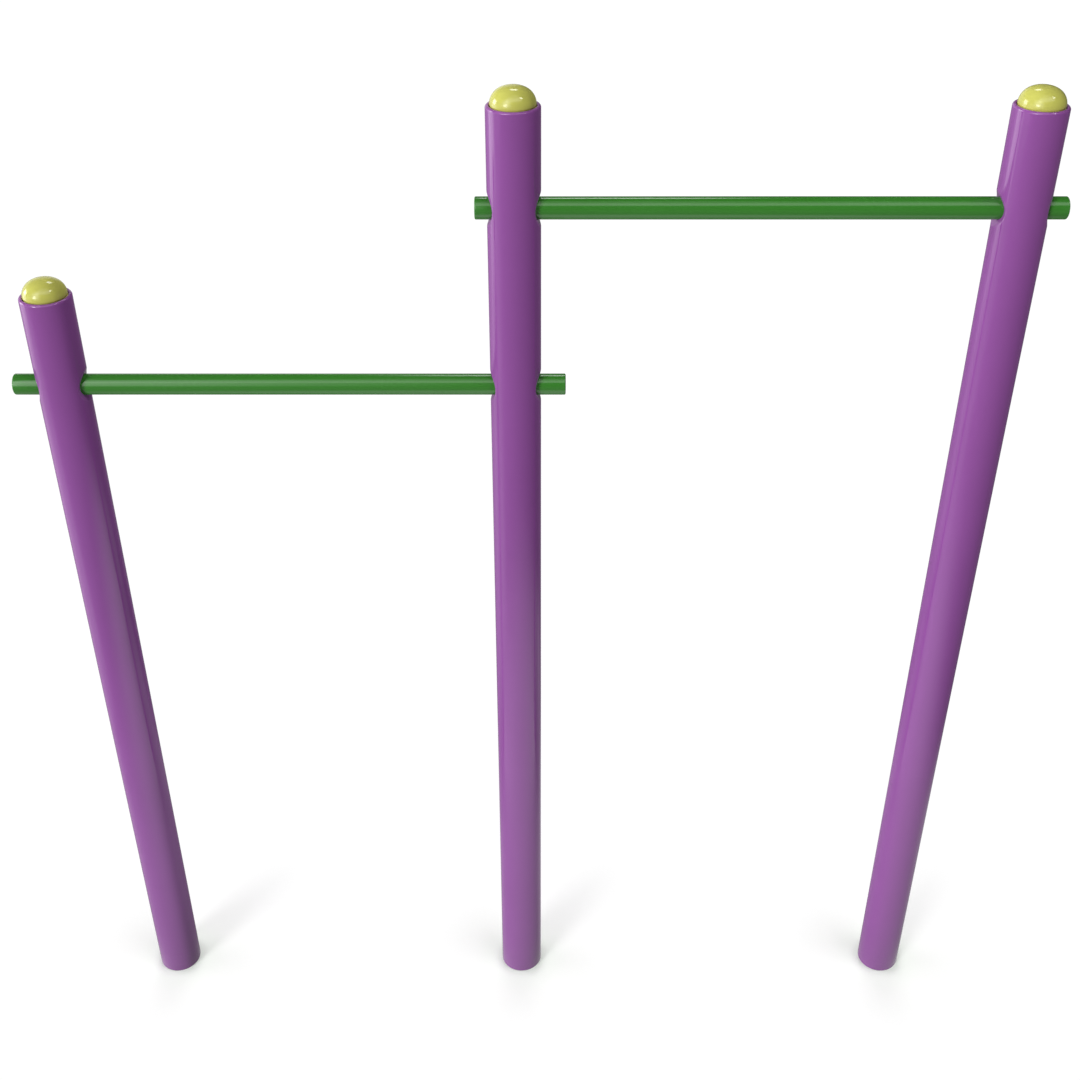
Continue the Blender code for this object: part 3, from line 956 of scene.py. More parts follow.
@dataclass
class PostShell:
    """A round post: rolled rim and foot, and a dished mouth wherever a bar passes."""

    place: Place
    tubes: Tubes = field(default_factory=Tubes)
    dish: DishRule = field(default_factory=DishRule)
    rim_round: float = 0.0044
    foot_round: float = 0.0048
    bore_edge: float = 0.0010
    columns: int = 128
    half_patch: int = 18
    patch_height: float = 0.0420
    blend_rings: int = 4
    dish_rings: int = 24
    round_steps: int = 10
    row_pitch: float = 0.12
    rim_rub: float = 0.004
    foot_rub: float = 0.006
    mouth_rub: float = 0.0016
    mouth_area: float = 0.045

    def __post_init__(self) -> None:
        """Starts the skin and the numbers that it carries at each point."""
        self.skin = Skin()
        layers = self.skin.work.verts.layers.float
        self.layers = {name: layers.new(name) for name in ("station", "turn", "side", "level")}

    def rows(self) -> list[float]:
        """Heights of the rows of points up the straight wall, with a close band at each bar.

        Returns:
            The heights, from the top down.
        """
        high = self.place.height - self.rim_round
        low = self.foot_round
        heights = []
        for level in sorted(self.place.levels, key=lambda item: -item.value):
            top = level.value + self.patch_height
            heights += self.spread(high, top)[:-1]
            steps = 2 * self.half_patch
            heights += [top - 2 * self.patch_height * i / steps for i in range(steps)]
            high = level.value - self.patch_height
        return heights + self.spread(high, low)

    def spread(self, high: float, low: float) -> list[float]:
        """Even heights from one to another, both ends included."""
        count = max(1, round((high - low) / self.row_pitch))
        return [high + (low - high) * i / count for i in range(count + 1)]

    def on_wall(self, radius: float, angle: float, height: float) -> Vector:
        """A point on a tube about the post's axis."""
        return Vector(
            (self.place.x + radius * math.cos(angle), radius * math.sin(angle), height)
        )

    def vertex(self, point: Vector, station: float = OFF_DISH, turn: float = 0.0,
               side: float = 0.0, level: float = 0.0) -> bmesh.types.BMVert:
        """Adds a point with the numbers that place it on a dish.

        Args:
            point: Its place on the plain tube.
            station: Its share of the way from throat to edge, or OFF_DISH.
            turn: Its angle round the bar, from straight up.
            side: 1 for the right-hand mouth, -1 for the left.
            level: Height of the bar's axis.

        Returns:
            The new vertex.
        """
        vertex = self.skin.work.verts.new(point)
        for name, value in zip(self.layers, (station, turn, side, level)):
            vertex[self.layers[name]] = value
        return vertex

    def band_of(self, height: float) -> Level | None:
        """The bar whose close band holds a height, its ends left out."""
        for level in self.place.levels:
            if abs(height - level.value) < self.patch_height - WELD:
                return level
        return None

    def wall(self, radius: float,
             heights: Sequence[float]) -> dict[tuple[int, int], bmesh.types.BMVert]:
        """A straight wall of the post, left open where the mouths go.

        Args:
            radius: The wall's radius.
            heights: The heights of its rows.

        Returns:
            The wall's vertices by row and column.
        """
        grid = {}
        for row, height in enumerate(heights):
            for column in range(self.columns):
                if self.band_of(height) and self.patch_offset(column) < self.half_patch:
                    continue
                angle = FULL_TURN * column / self.columns
                grid[row, column] = self.vertex(self.on_wall(radius, angle, height))
        for row in range(len(heights) - 1):
            middle = (heights[row] + heights[row + 1]) / 2
            for column in range(self.columns):
                across = (column + 1) % self.columns
                inside = max(self.patch_offset(column), self.patch_offset(across))
                if self.band_of(middle) and inside <= self.half_patch:
                    continue
                self.skin.work.faces.new(
                    (grid[row, column], grid[row, across], grid[row + 1, across],
                     grid[row + 1, column])
                )
        return grid

    def patch_offset(self, column: int) -> int:
        """How many columns a column lies from the middle of the nearer mouth."""
        half = self.columns // 2
        return min(column % half, half - column % half)

    def patch_edge(self, grid: dict, heights: Sequence[float], level: Level, side: int) -> list:
        """The wall's vertices round a mouth, from straight above the bar towards +Y.

        Args:
            grid: The wall's vertices.
            heights: The heights of its rows.
            level: The bar that passes.
            side: 1 for the right-hand mouth, -1 for the left.

        Returns:
            The vertices in order.
        """
        half = self.half_patch
        top = min(range(len(heights)),
                  key=lambda i: abs(heights[i] - level.value - self.patch_height))
        centre = 0 if side > 0 else self.columns // 2
        path = [(0, i) for i in range(half)]
        path += [(i, half) for i in range(2 * half)]
        path += [(2 * half, half - i) for i in range(2 * half)]
        path += [(2 * half - i, -half) for i in range(2 * half)]
        path += [(0, i - half) for i in range(half)]
        return [grid[top + row, (centre + side * across) % self.columns] for row, across in path]

    def blend_out(self, radius: float, edge: list, reach: Callable[[float], float], level: Level,
                  side: int) -> list[list]:
        """Rings on the wall that run from a patch's square edge in to a round one.

        Args:
            radius: The wall's radius.
            edge: The vertices of the square edge.
            reach: The round ring's radius at an angle from straight up.
            level: The bar that passes.
            side: 1 for the right-hand mouth, -1 for the left.

        Returns:
            The rings from outside in, the square edge first; the round ring isn't among them.
        """
        count = len(edge)
        rings = [edge]
        for step in range(1, self.blend_rings + 1):
            share = step / (self.blend_rings + 1)
            ring = []
            for i, corner in enumerate(edge):
                turn = FULL_TURN * i / count
                around = math.asin(reach(turn) * math.sin(turn) / radius)
                up = reach(turn) * math.cos(turn)
                y = max(-1.0, min(1.0, corner.co.y / radius))
                start = math.asin(y)
                angle = start + (around - start) * share
                height = corner.co.z + (level.value + up - corner.co.z) * share
                if side < 0:
                    angle = math.pi - angle
                ring.append(self.vertex(self.on_wall(radius, angle, height)))
            rings.append(ring)
        return rings

    def mouth(self, outer: list, inner: list, level: Level, side: int) -> None:
        """One mouth: from the outer wall down the dish, over its land and out over the bore.

        Args:
            outer: The outer wall's vertices round it.
            inner: The bore's vertices round it.
            level: The bar that passes.
            side: 1 for the right-hand mouth, -1 for the left.
        """
        tubes, dish = self.tubes, self.dish
        count = len(outer)
        far = dish.run_out
        rings = self.blend_out(
            tubes.post_radius, outer, lambda a: tubes.hole_radius + far * dish.reach(a), level, side
        )
        for step in range(self.dish_rings + 1):
            station = far * (1 - step / self.dish_rings)
            ring = []
            for i in range(count):
                turn = FULL_TURN * i / count
                radius = tubes.hole_radius + station * dish.reach(turn)
                place = Vector((self.place.x + side * tubes.post_radius, radius * math.sin(turn),
                                level.value + radius * math.cos(turn)))
                ring.append(self.vertex(place, station, turn, side, level.value))
            rings.append(ring)
        throat = []
        for i in range(count):
            turn = FULL_TURN * i / count
            across = tubes.hole_radius * math.sin(turn)
            out = math.sqrt(tubes.bore_radius**2 - across**2)
            throat.append(self.vertex(Vector((
                self.place.x + side * out, across,
                level.value + tubes.hole_radius * math.cos(turn)))))
        rings.append(throat)
        behind = self.blend_out(
            tubes.bore_radius, inner, lambda _: tubes.hole_radius, level, side
        )
        rings += reversed(behind)
        self.skin.stack(rings)

    def lip(self, points: Sequence[tuple[float, float]], start: list, end: list) -> None:
        """A rolled edge between the outer wall and the bore.

        Args:
            points: (radius, height) of each ring between them.
            start: The outer wall's last ring.
            end: The bore's last ring.
        """
        angles = [FULL_TURN * i / self.columns for i in range(self.columns)]
        rings = [start]
        for radius, height in points:
            rings.append([self.vertex(self.on_wall(radius, a, height)) for a in angles])
        rings.append(end)
        self.skin.stack(rings)

    def build(self, tree: ShapeTree, paint: Paintbox) -> bpy.types.Object:
        """Builds the post and stands it in for its CAD node.

        Args:
            tree: The tree that dishes the mouths.
            paint: The finishes.

        Returns:
            The finished post.
        """
        tubes = self.tubes
        heights = self.rows()
        top, edge = self.place.height, self.bore_edge
        bore_heights = [top - edge, *heights[1:-1], edge]
        outer = self.wall(tubes.post_radius, heights)
        inner = self.wall(tubes.bore_radius, bore_heights)
        for level in self.place.levels:
            for side in (1, -1):
                self.mouth(
                    self.patch_edge(outer, heights, level, side),
                    self.patch_edge(inner, bore_heights, level, side),
                    level,
                    side,
                )
        last = len(heights) - 1
        ring = range(self.columns)
        rim = arc(tubes.post_radius - self.rim_round, top - self.rim_round, self.rim_round, 0, 90,
                  self.round_steps)[1:]
        foot = arc(tubes.post_radius - self.foot_round, self.foot_round, self.foot_round, 0, -90,
                   self.round_steps)[1:]
        self.lip([*rim, (tubes.bore_radius + edge, top)], [outer[0, i] for i in ring],
                 [inner[0, i] for i in ring])
        self.lip([*foot, (tubes.bore_radius + edge, 0.0)], [outer[last, i] for i in ring],
                 [inner[last, i] for i in ring])
        plain = self.skin.mesh(self.place.name + "_plain")
        mesh = tree.grow(self.place.name, {
            "Post Radius": tubes.post_radius,
            "Bore Radius": tubes.bore_radius,
            "Hole Radius": tubes.hole_radius,
            "Reach Above": self.dish.reach_above,
            "Reach Beside": self.dish.reach_beside,
            "Land": self.dish.land,
            "Fullness": self.dish.fullness,
            "Edge Round": self.dish.edge_round,
            "Post X": self.place.x,
            "Material": paint.get(Slot.POST),
        }, plain)
        mesh = cut_round(mesh, [
            tubes.back_hole(self.place.x, level.value, tubes.bore_radius, tubes.post_radius)
            for level in self.place.levels
        ])
        mark(mesh, "rub", self.rubbed)
        for name in self.layers:
            spare = mesh.attributes.get(name)
            if spare:
                mesh.attributes.remove(spare)
        return put_up(self.place.name + "_shell", mesh, Slot.POST, self.place.name, paint)

    def rubbed(self, point: Vector) -> float:
        """How rubbed the paint is: most at the rim, the foot and the mouths' edges.

        Args:
            point: A point on the post.

        Returns:
            A share from 0 to 1.
        """
        rim = 1 - (self.place.height - point.z) / self.rim_rub
        foot = 1 - point.z / self.foot_rub
        edge = 0.0
        for level in self.place.levels:
            up = point.z - level.value
            ring = math.hypot(point.y, up)
            if ring < self.mouth_area:
                off = ring - self.tubes.hole_radius - self.dish.reach(math.atan2(point.y, up))
                edge = max(edge, 1 - abs(off) / self.mouth_rub)
        return max(0.0, min(1.0, max(rim, foot, edge)))


@dataclass
class BarTube:
    """A level bar: a round tube with rounded ends, drilled from behind at each post."""

    name: str
    node: str
    left: float
    right: float
    level: Level
    posts: tuple[float, ...]
    tubes: Tubes = field(default_factory=Tubes)
    end_round: float = 0.0025
    round_steps: int = 8
    around: int = 96
    pitch: float = 0.02
    end_rub: float = 0.004
    grip_rub: float = 0.35
    grip_off: float = 0.22
    grip_wide: float = 0.12

    @staticmethod
    def tree() -> ShapeTree:
        """The tree that gives a path of points a round skin whose ends are rounded off.

        Returns:
            The tree.
        """
        tree = ShapeTree(
            "rounded_tube", ("Left", "Right", "Radius", "Bore Radius", "End Round"), ("Around",)
        )
        path = tree.add("GeometryNodeMeshToCurve", {"Mesh": tree.field(tree.start, "Geometry")})
        x, _, _ = tree.places()
        end = tree.math("MINIMUM", x - tree.given("Left"), tree.given("Right") - x)
        roll = tree.given("End Round")
        short = tree.math("MAXIMUM", roll - end, 0.0)
        fall = roll - tree.root(tree.math("MAXIMUM", roll * roll - short * short, 0.0))
        join = tree.add("GeometryNodeJoinGeometry")
        for width in (tree.given("Radius") - fall, tree.given("Bore Radius")):
            skin = tree.sweep(tree.field(path), tree.given("Around"), 1.0, {"Scale": width})
            tree.feed(join.inputs[0], skin)
        tree.end(tree.field(join))
        return tree

    def path(self) -> bpy.types.Mesh:
        """The points along the bar's axis, close together where its ends round off.

        Returns:
            A mesh of edges.
        """
        steps = self.round_steps
        turns = [math.pi / 2 * (1 - i / steps) for i in range(steps + 1)]
        roll = [self.end_round * (1 - math.sin(turn)) for turn in turns]
        count = round((self.right - self.left) / self.pitch)
        first, last = self.left + self.end_round, self.right - self.end_round
        xs = [self.left + d for d in roll]
        xs += [first + (last - first) * i / count for i in range(1, count)]
        xs += [self.right - d for d in reversed(roll)]
        mesh = bpy.data.meshes.new(self.name + "_path")
        mesh.from_pydata(
            [(x, 0.0, self.level.value) for x in xs], [(i, i + 1) for i in range(len(xs) - 1)], []
        )
        return mesh

    def build(self, tree: ShapeTree, paint: Paintbox) -> bpy.types.Object:
        """Builds the bar and stands it in for its CAD node.

        Args:
            tree: The tree that makes a rounded tube.
            paint: The finishes.

        Returns:
            The finished bar.
        """
        tubes = self.tubes
        skins = tree.grow(self.name, {
            "Left": self.left,
            "Right": self.right,
            "Radius": tubes.bar_radius,
            "Bore Radius": tubes.bar_bore_radius,
            "End Round": self.end_round,
            "Around": self.around,
            "Material": paint.get(Slot.BAR),
        }, self.path())
        skin = Skin()
        skin.take_in(skins)
        skin.work.verts.ensure_lookup_table()
        points = list(skin.work.verts)
        rings = [points[i:i + self.around] for i in range(0, len(points), self.around)]
        half = len(rings) // 2
        skin.loft(rings[0], rings[half])
        skin.loft(rings[half - 1], rings[-1])
        mesh = cut_round(skin.mesh(self.name), [
            tubes.back_hole(x, self.level.value, tubes.bar_bore_radius, tubes.bar_radius)
            for x in self.posts
        ])
        mark(mesh, "rub", self.rubbed)
        return put_up(self.name, mesh, Slot.BAR, self.node, paint)

    def rubbed(self, point: Vector) -> float:
        """How rubbed the paint is: at the ends, and lightly where hands grip the top.

        Args:
            point: A point on the bar.

        Returns:
            A share from 0 to 1.
        """
        end = 1 - min(point.x - self.left, self.right - point.x) / self.end_rub
        middle = sum(self.posts) / len(self.posts)
        off = (abs(point.x - middle) - self.grip_off) / self.grip_wide
        grip = self.grip_rub * math.exp(-off ** 2)
        over = 0.5 + 0.5 * (point.z - self.level.value) / self.tubes.bar_radius
        return max(0.0, min(1.0, max(end, grip * over)))


@dataclass(frozen=True)
class PlugSizes:
    """Sizes of a push-in plug with a crowned head and grip fins on its skirt."""

    radius: float
    crown_height: float
    fullness: float
    shell: float
    collar: float
    skirt_inset: float
    fin_reach: float
    fin_pitch: float
    fins: int = 2
    fin_part: float = 0.9
    steps: int = 96
    crown_steps: int = 28
    tuck: float = 0.0
    tuck_height: float = 0.0050
    rub_height: float = 0.001
    rub_reach: float = 0.003


CAP_SIZES = PlugSizes(
    radius=0.0431, crown_height=0.0359, fullness=2.3, shell=0.0030, collar=0.0060,
    skirt_inset=0.0022, fin_reach=0.0025, fin_pitch=0.0070, crown_steps=64, tuck=0.0018,
)
# Height of a cap's base over its post's rim.
CAP_BASE = -0.0020
END_PLUG_SIZES = PlugSizes(
    radius=0.0177, crown_height=0.0016, fullness=2.0, shell=0.0022, collar=0.0030,
    skirt_inset=0.0014, fin_reach=0.0014, fin_pitch=0.0050, crown_steps=10,
)


@dataclass
class PushInPlug:
    """A plug that closes a tube's end: a cap in a post or a small plug in a bar."""

    name: str
    node: str
    slot: Slot
    sizes: PlugSizes
    base: float
    place: Matrix

    @staticmethod
    def crown_tree() -> ShapeTree:
        """The tree that makes a domed skin: a superellipse turned about Z, tucked in at its base.

        Returns:
            The tree.
        """
        tree = ShapeTree(
            "domed_crown", ("Radius", "Height", "Base", "Fullness", "Tuck", "Tuck Height"),
            ("Around", "Rings"),
        )
        grid = tree.add(
            "GeometryNodeMeshGrid",
            {
                "Size X": 1.0, "Size Y": 1.0,
                "Vertices X": tree.given("Around") + 1.0,
                "Vertices Y": tree.given("Rings") + 1.0,
            },
        )
        across, along, _ = tree.places()
        angle = (across + 0.5) * FULL_TURN
        rise = (along + 0.5) * (math.pi / 2)
        power = tree.math("DIVIDE", 2.0, tree.given("Fullness"))
        out = tree.given("Radius") * tree.math("MAXIMUM", tree.math("COSINE", rise), 0.0) ** power
        over = tree.given("Height") * tree.math("SINE", rise) ** power
        near = tree.math("MAXIMUM", 1.0 - over / tree.given("Tuck Height"), 0.0)
        out = out - tree.given("Tuck") * near * near
        up = tree.given("Base") + over
        place = tree.point(out * tree.math("COSINE", angle), out * tree.math("SINE", angle), up)
        moved = tree.add(
            "GeometryNodeSetPosition", {"Geometry": tree.field(grid), "Position": place}
        )
        welded = tree.add(
            "GeometryNodeMergeByDistance", {"Geometry": tree.field(moved), "Distance": WELD}
        )
        tree.end(tree.field(welded))
        return tree

    @staticmethod
    def fin_tree() -> ShapeTree:
        """The tree that repeats a ring of grip fin down a skirt.

        Returns:
            The tree.
        """
        tree = ShapeTree(
            "grip_fins", ("Skirt Radius", "Reach", "Top", "Pitch"), ("Fins", "Around")
        )
        row = tree.add(
            "GeometryNodeMeshLine",
            {
                "Count": tree.given("Fins"),
                "Start Location": tree.point(0.0, 0.0, tree.given("Top")),
                "Offset": tree.point(0.0, 0.0, -tree.given("Pitch")),
            },
        )
        path = tree.add(
            "GeometryNodeCurvePrimitiveCircle",
            {"Resolution": tree.given("Around"), "Radius": tree.given("Skirt Radius")},
        )
        fin = tree.sweep(tree.field(path), RIDGE_CORNERS, tree.given("Reach"))
        fins = tree.add("GeometryNodeInstanceOnPoints", {"Points": tree.field(row), "Instance": fin})
        tree.end(tree.field(fins))
        return tree

    def skirt(self, skin: Skin) -> None:
        """The collar, the skirt and the hollow below the crown.

        Args:
            skin: The skin to add them to.
        """
        size = self.sizes
        wall = size.radius - size.skirt_inset
        inner = wall - size.shell
        top = self.base - size.collar
        foot = top - 2 * size.skirt_inset - size.fins * size.fin_pitch
        profile = [(size.radius - size.tuck, self.base)]
        if size.tuck:
            profile.append((size.radius, self.base - size.tuck))
        profile += [(size.radius, top), (wall, top - size.skirt_inset), (wall, foot), (inner, foot),
                    (inner, self.base - size.shell)]
        skin.stack(turned_rings(skin, profile, size.steps))

    def build(self, crown: ShapeTree, fins: ShapeTree, paint: Paintbox) -> bpy.types.Object:
        """Builds the plug and stands it in for its CAD node.

        Args:
            crown: The tree that makes a domed skin.
            fins: The tree that repeats the grip fins.
            paint: The finishes.

        Returns:
            The finished plug.
        """
        size = self.sizes
        wall = size.radius - size.skirt_inset
        skin = Skin()
        self.skirt(skin)
        domes = (
            (size.radius, self.base, size.tuck),
            (wall - size.shell, self.base - size.shell, 0.0),
        )
        for radius, base, tuck in domes:
            skin.take_in(crown.grow(self.name, {
                "Radius": radius,
                "Height": size.crown_height,
                "Base": base,
                "Fullness": size.fullness,
                "Tuck": tuck,
                "Tuck Height": size.tuck_height,
                "Around": size.steps,
                "Rings": size.crown_steps,
                "Material": paint.get(self.slot),
            }))
        bmesh.ops.remove_doubles(skin.work, verts=skin.work.verts, dist=WELD)
        bmesh.ops.recalc_face_normals(skin.work, faces=skin.work.faces)
        skin.take_in(fins.grow(self.name, {
            "Skirt Radius": wall,
            "Reach": size.fin_reach * size.fin_part,
            "Top": self.base - size.collar - size.skirt_inset - size.fin_pitch / 2,
            "Pitch": size.fin_pitch,
            "Fins": size.fins,
            "Around": size.steps,
            "Material": paint.get(self.slot),
        }))
        mesh = skin.mesh(self.name)
        mark(mesh, "rub", self.rubbed)
        mesh.transform(self.place)
        return put_up(self.name, mesh, self.slot, self.node, paint)

    def rubbed(self, point: Vector) -> float:
        """How rubbed the plug is, from 0 to 1: most at its crown's lower edge."""
        off = abs(point.z - self.base - self.sizes.rub_height)
        return max(0.0, 1 - off / self.sizes.rub_reach)


@dataclass
class CrossingLock:
    """What locks a bar in a post: a button-head bolt and its saddle washer."""

    tag: str
    x: float
    level: Level
    tubes: Tubes = field(default_factory=Tubes)
    head_radius: float = 0.00875
    head_height: float = 0.0054
    head_land: float = 0.0012
    head_rings: int = 12
    edge_break: float = 0.0003
    socket_across: float = 0.0060
    socket_depth: float = 0.0030
    socket_lead: float = 1.06
    socket_break: float = 0.0002
    socket_point: float = 0.0008
    past_axis: float = 0.0080
    tip_chamfer: float = 0.0010
    washer_radius: float = 0.0110
    washer_crown: float = 0.0025
    saddle_rings: int = 8
    seat_gap: float = 0.0003
    thread_pitch: float = 0.0015
    thread_depth: float = 0.0006
    thread_length: float = 0.0240
    thread_steps: int = 24
    steps: int = 72

    @property
    def place(self) -> Matrix:
        """Lays the lock's own +Z along the world's +Y, at the crossing."""
        return Matrix.Translation((self.x, 0.0, self.level.value)) @ Matrix.Rotation(
            -math.pi / 2, 4, "X"
        )

    @property
    def washer_top(self) -> float:
        """How far the washer's flat face is from the post's axis."""
        return self.tubes.post_radius + self.seat_gap + self.washer_crown

    @property
    def seat(self) -> float:
        """How far the bolt head's underside is from the post's axis."""
        return self.washer_top + self.seat_gap

    @staticmethod
    def thread_tree() -> ShapeTree:
        """The tree that winds a thread's ridge along a shank.

        Returns:
            The tree.
        """
        tree = ShapeTree(
            "thread_ridge", ("Radius", "Ridge", "Turns", "Length", "Start"), ("Around",)
        )
        path = tree.add(
            "GeometryNodeCurveSpiral",
            {
                "Resolution": tree.given("Around"),
                "Rotations": tree.given("Turns"),
                "Start Radius": tree.given("Radius"),
                "End Radius": tree.given("Radius"),
                "Height": tree.given("Length"),
            },
        )
        ridge = tree.sweep(
            tree.field(path), RIDGE_CORNERS, tree.given("Ridge"), {"Fill Caps": True}
        )
        moved = tree.add(
            "GeometryNodeTransform",
            {"Geometry": ridge, "Translation": tree.point(0.0, 0.0, tree.given("Start"))},
        )
        tree.end(tree.field(moved))
        return tree

    def socket_ring(self, height: float, reach: float = 1.0) -> list[Vector]:
        """Points of the six-sided socket's outline.

        Args:
            height: Their height.
            reach: Size against the full outline.

        Returns:
            The points, as many as a round ring has.
        """
        points = []
        for i in range(self.steps):
            angle = FULL_TURN * i / self.steps
            off = (angle + math.pi / 6) % (math.pi / 3) - math.pi / 6
            radius = reach * self.socket_across / 2 / math.cos(off)
            points.append(Vector((radius * math.cos(angle), radius * math.sin(angle), height)))
        return points

    def crown_height_at(self, radius: float) -> float:
        """Height of the button head over its seat at a distance from the axis."""
        rise = self.head_height - self.head_land
        return self.head_land + rise * math.sqrt(max(0.0, 1 - (radius / self.head_radius) ** 2))

    def bolt(self, thread: ShapeTree, paint: Paintbox) -> bpy.types.Object:
        """Builds the bolt.

        Args:
            thread: The tree that winds the thread.
            paint: The finishes.

        Returns:
            The finished bolt.
        """
        skin = Skin()
        seat, head, shank = self.seat, self.head_radius, self.tubes.bolt_radius
        tip, edge = -self.past_axis, self.edge_break
        root = shank - self.thread_depth
        thread_top = tip + self.thread_length
        profile = [
            (0.0, tip), (root - self.tip_chamfer, tip), (root, tip + self.tip_chamfer),
            (root, thread_top), (shank, thread_top + self.thread_depth), (shank, seat),
            (head - edge, seat), (head, seat + edge), (head, seat + self.head_land),
        ]
        rings = turned_rings(skin, profile, self.steps)
        lead = self.socket_ring(0.0, self.socket_lead)
        for i in range(1, self.head_rings):
            ring = []
            for inner, outer in zip(lead, circle(head, 0.0, self.steps)):
                point = outer.lerp(inner, math.sin(i / self.head_rings * math.pi / 2))
                point.z = seat + self.crown_height_at(point.length)
                ring.append(point)
            rings.append(skin.ring(ring))
        rim = self.socket_ring(0.0)
        for point in rim:
            point.z = seat + self.crown_height_at(point.length) - self.socket_break
        rings.append(skin.ring(rim))
        floor = seat + self.head_height - self.socket_depth
        rings.append(skin.ring(self.socket_ring(floor)))
        rings.append(skin.ring([Vector((0.0, 0.0, floor - self.socket_point))]))
        skin.stack(rings)
        length = self.thread_length - 2 * self.tip_chamfer
        skin.take_in(thread.grow(self.tag, {
            "Radius": root,
            "Ridge": self.thread_depth,
            "Turns": length / self.thread_pitch,
            "Length": length,
            "Start": tip + self.tip_chamfer,
            "Around": self.thread_steps,
            "Material": paint.get(Slot.BOLT),
        }))
        mesh = skin.mesh(self.tag + "_bolt")
        mark(mesh, "from_axis", off_axis)
        mesh.transform(self.place)
        return put_up(self.tag + "_button_bolt", mesh, Slot.BOLT, self.tag + "_bolt", paint)

    def washer(self, paint: Paintbox) -> bpy.types.Object:
        """Builds the saddle washer.

        Args:
            paint: The finishes.

        Returns:
            The finished washer.
        """
        skin = Skin()
        outer, inner = self.washer_radius, self.tubes.bolt_hole_radius
        saddle = self.tubes.post_radius + self.seat_gap
        top, edge, count = self.washer_top, self.edge_break, self.saddle_rings

        def under(radius: float) -> list[Vector]:
            """A ring of the hollow underside."""
            ring = circle(radius, 0.0, self.steps)
            for point in ring:
                point.z = math.sqrt(saddle**2 - point.x**2)
            return ring

        rings = [under(inner + (outer - edge - inner) * i / count) for i in range(count + 1)]
        side = under(outer)
        for point in side:
            point.z += edge
        rings += [side, circle(outer, top - edge, self.steps), circle(outer - edge, top, self.steps),
                  circle(inner + edge, top, self.steps), circle(inner, top - edge, self.steps)]
        skin.stack([skin.ring(ring) for ring in rings], looped=True)
        mesh = skin.mesh(self.tag + "_washer")
        mark(mesh, "from_axis", off_axis)
        mesh.transform(self.place)
        return put_up(self.tag + "_saddle_washer", mesh, Slot.BOLT, self.tag + "_washer", paint)


class CarriedOver:
    """CAD nodes whose shape stays and that only take a finish."""

    FINISH = {"_foot": Slot.POST, "_slug": Slot.SLUG}

    def build(self, paint: Paintbox) -> None:
        """Gives each of them its finish.

        Args:
            paint: The finishes.
        """
        for name, node in sorted(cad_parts.items()):
            for ending, slot in self.FINISH.items():
                if name.endswith(ending):
                    node.data.materials.clear()
                    node.data.materials.append(paint.get(slot))
                    LOG.info("%s: finish %s", name, slot.value)


# The studio


@dataclass(frozen=True)
class Glow:
    """A soft-edged bright pane of the studio, by direction; angles in degrees."""

    azimuth: float
    elevation: float
    half_wide: float
    half_high: float
    edge: float
    strength: float
    side_edge: float | None = None

    def light(self, graph: Graph, azimuth: Field, elevation: Field) -> Field:
        """The pane's light in a direction.

        Args:
            graph: The world's graph.
            azimuth: Where the direction points, round Z.
            elevation: How far up it points.

        Returns:
            The strength.
        """
        off = abs(graph.math("WRAP", azimuth - math.radians(self.azimuth), math.pi, -math.pi))
        up = abs(elevation - math.radians(self.elevation))
        wide, high, edge = (math.radians(v) for v in (self.half_wide, self.half_high, self.edge))
        side = math.radians(self.side_edge or self.edge)
        share = graph.ramp(off, wide - side / 2, wide + side, 1.0, 0.0)
        share = share * graph.ramp(up, high - edge / 2, high + edge, 1.0, 0.0)
        return share * self.strength


@dataclass(frozen=True)
class Lamp:
    """A soft lamp far off; level is how bright white paper that faces it turns."""

    name: str
    azimuth: float
    elevation: float
    spread: float
    level: float


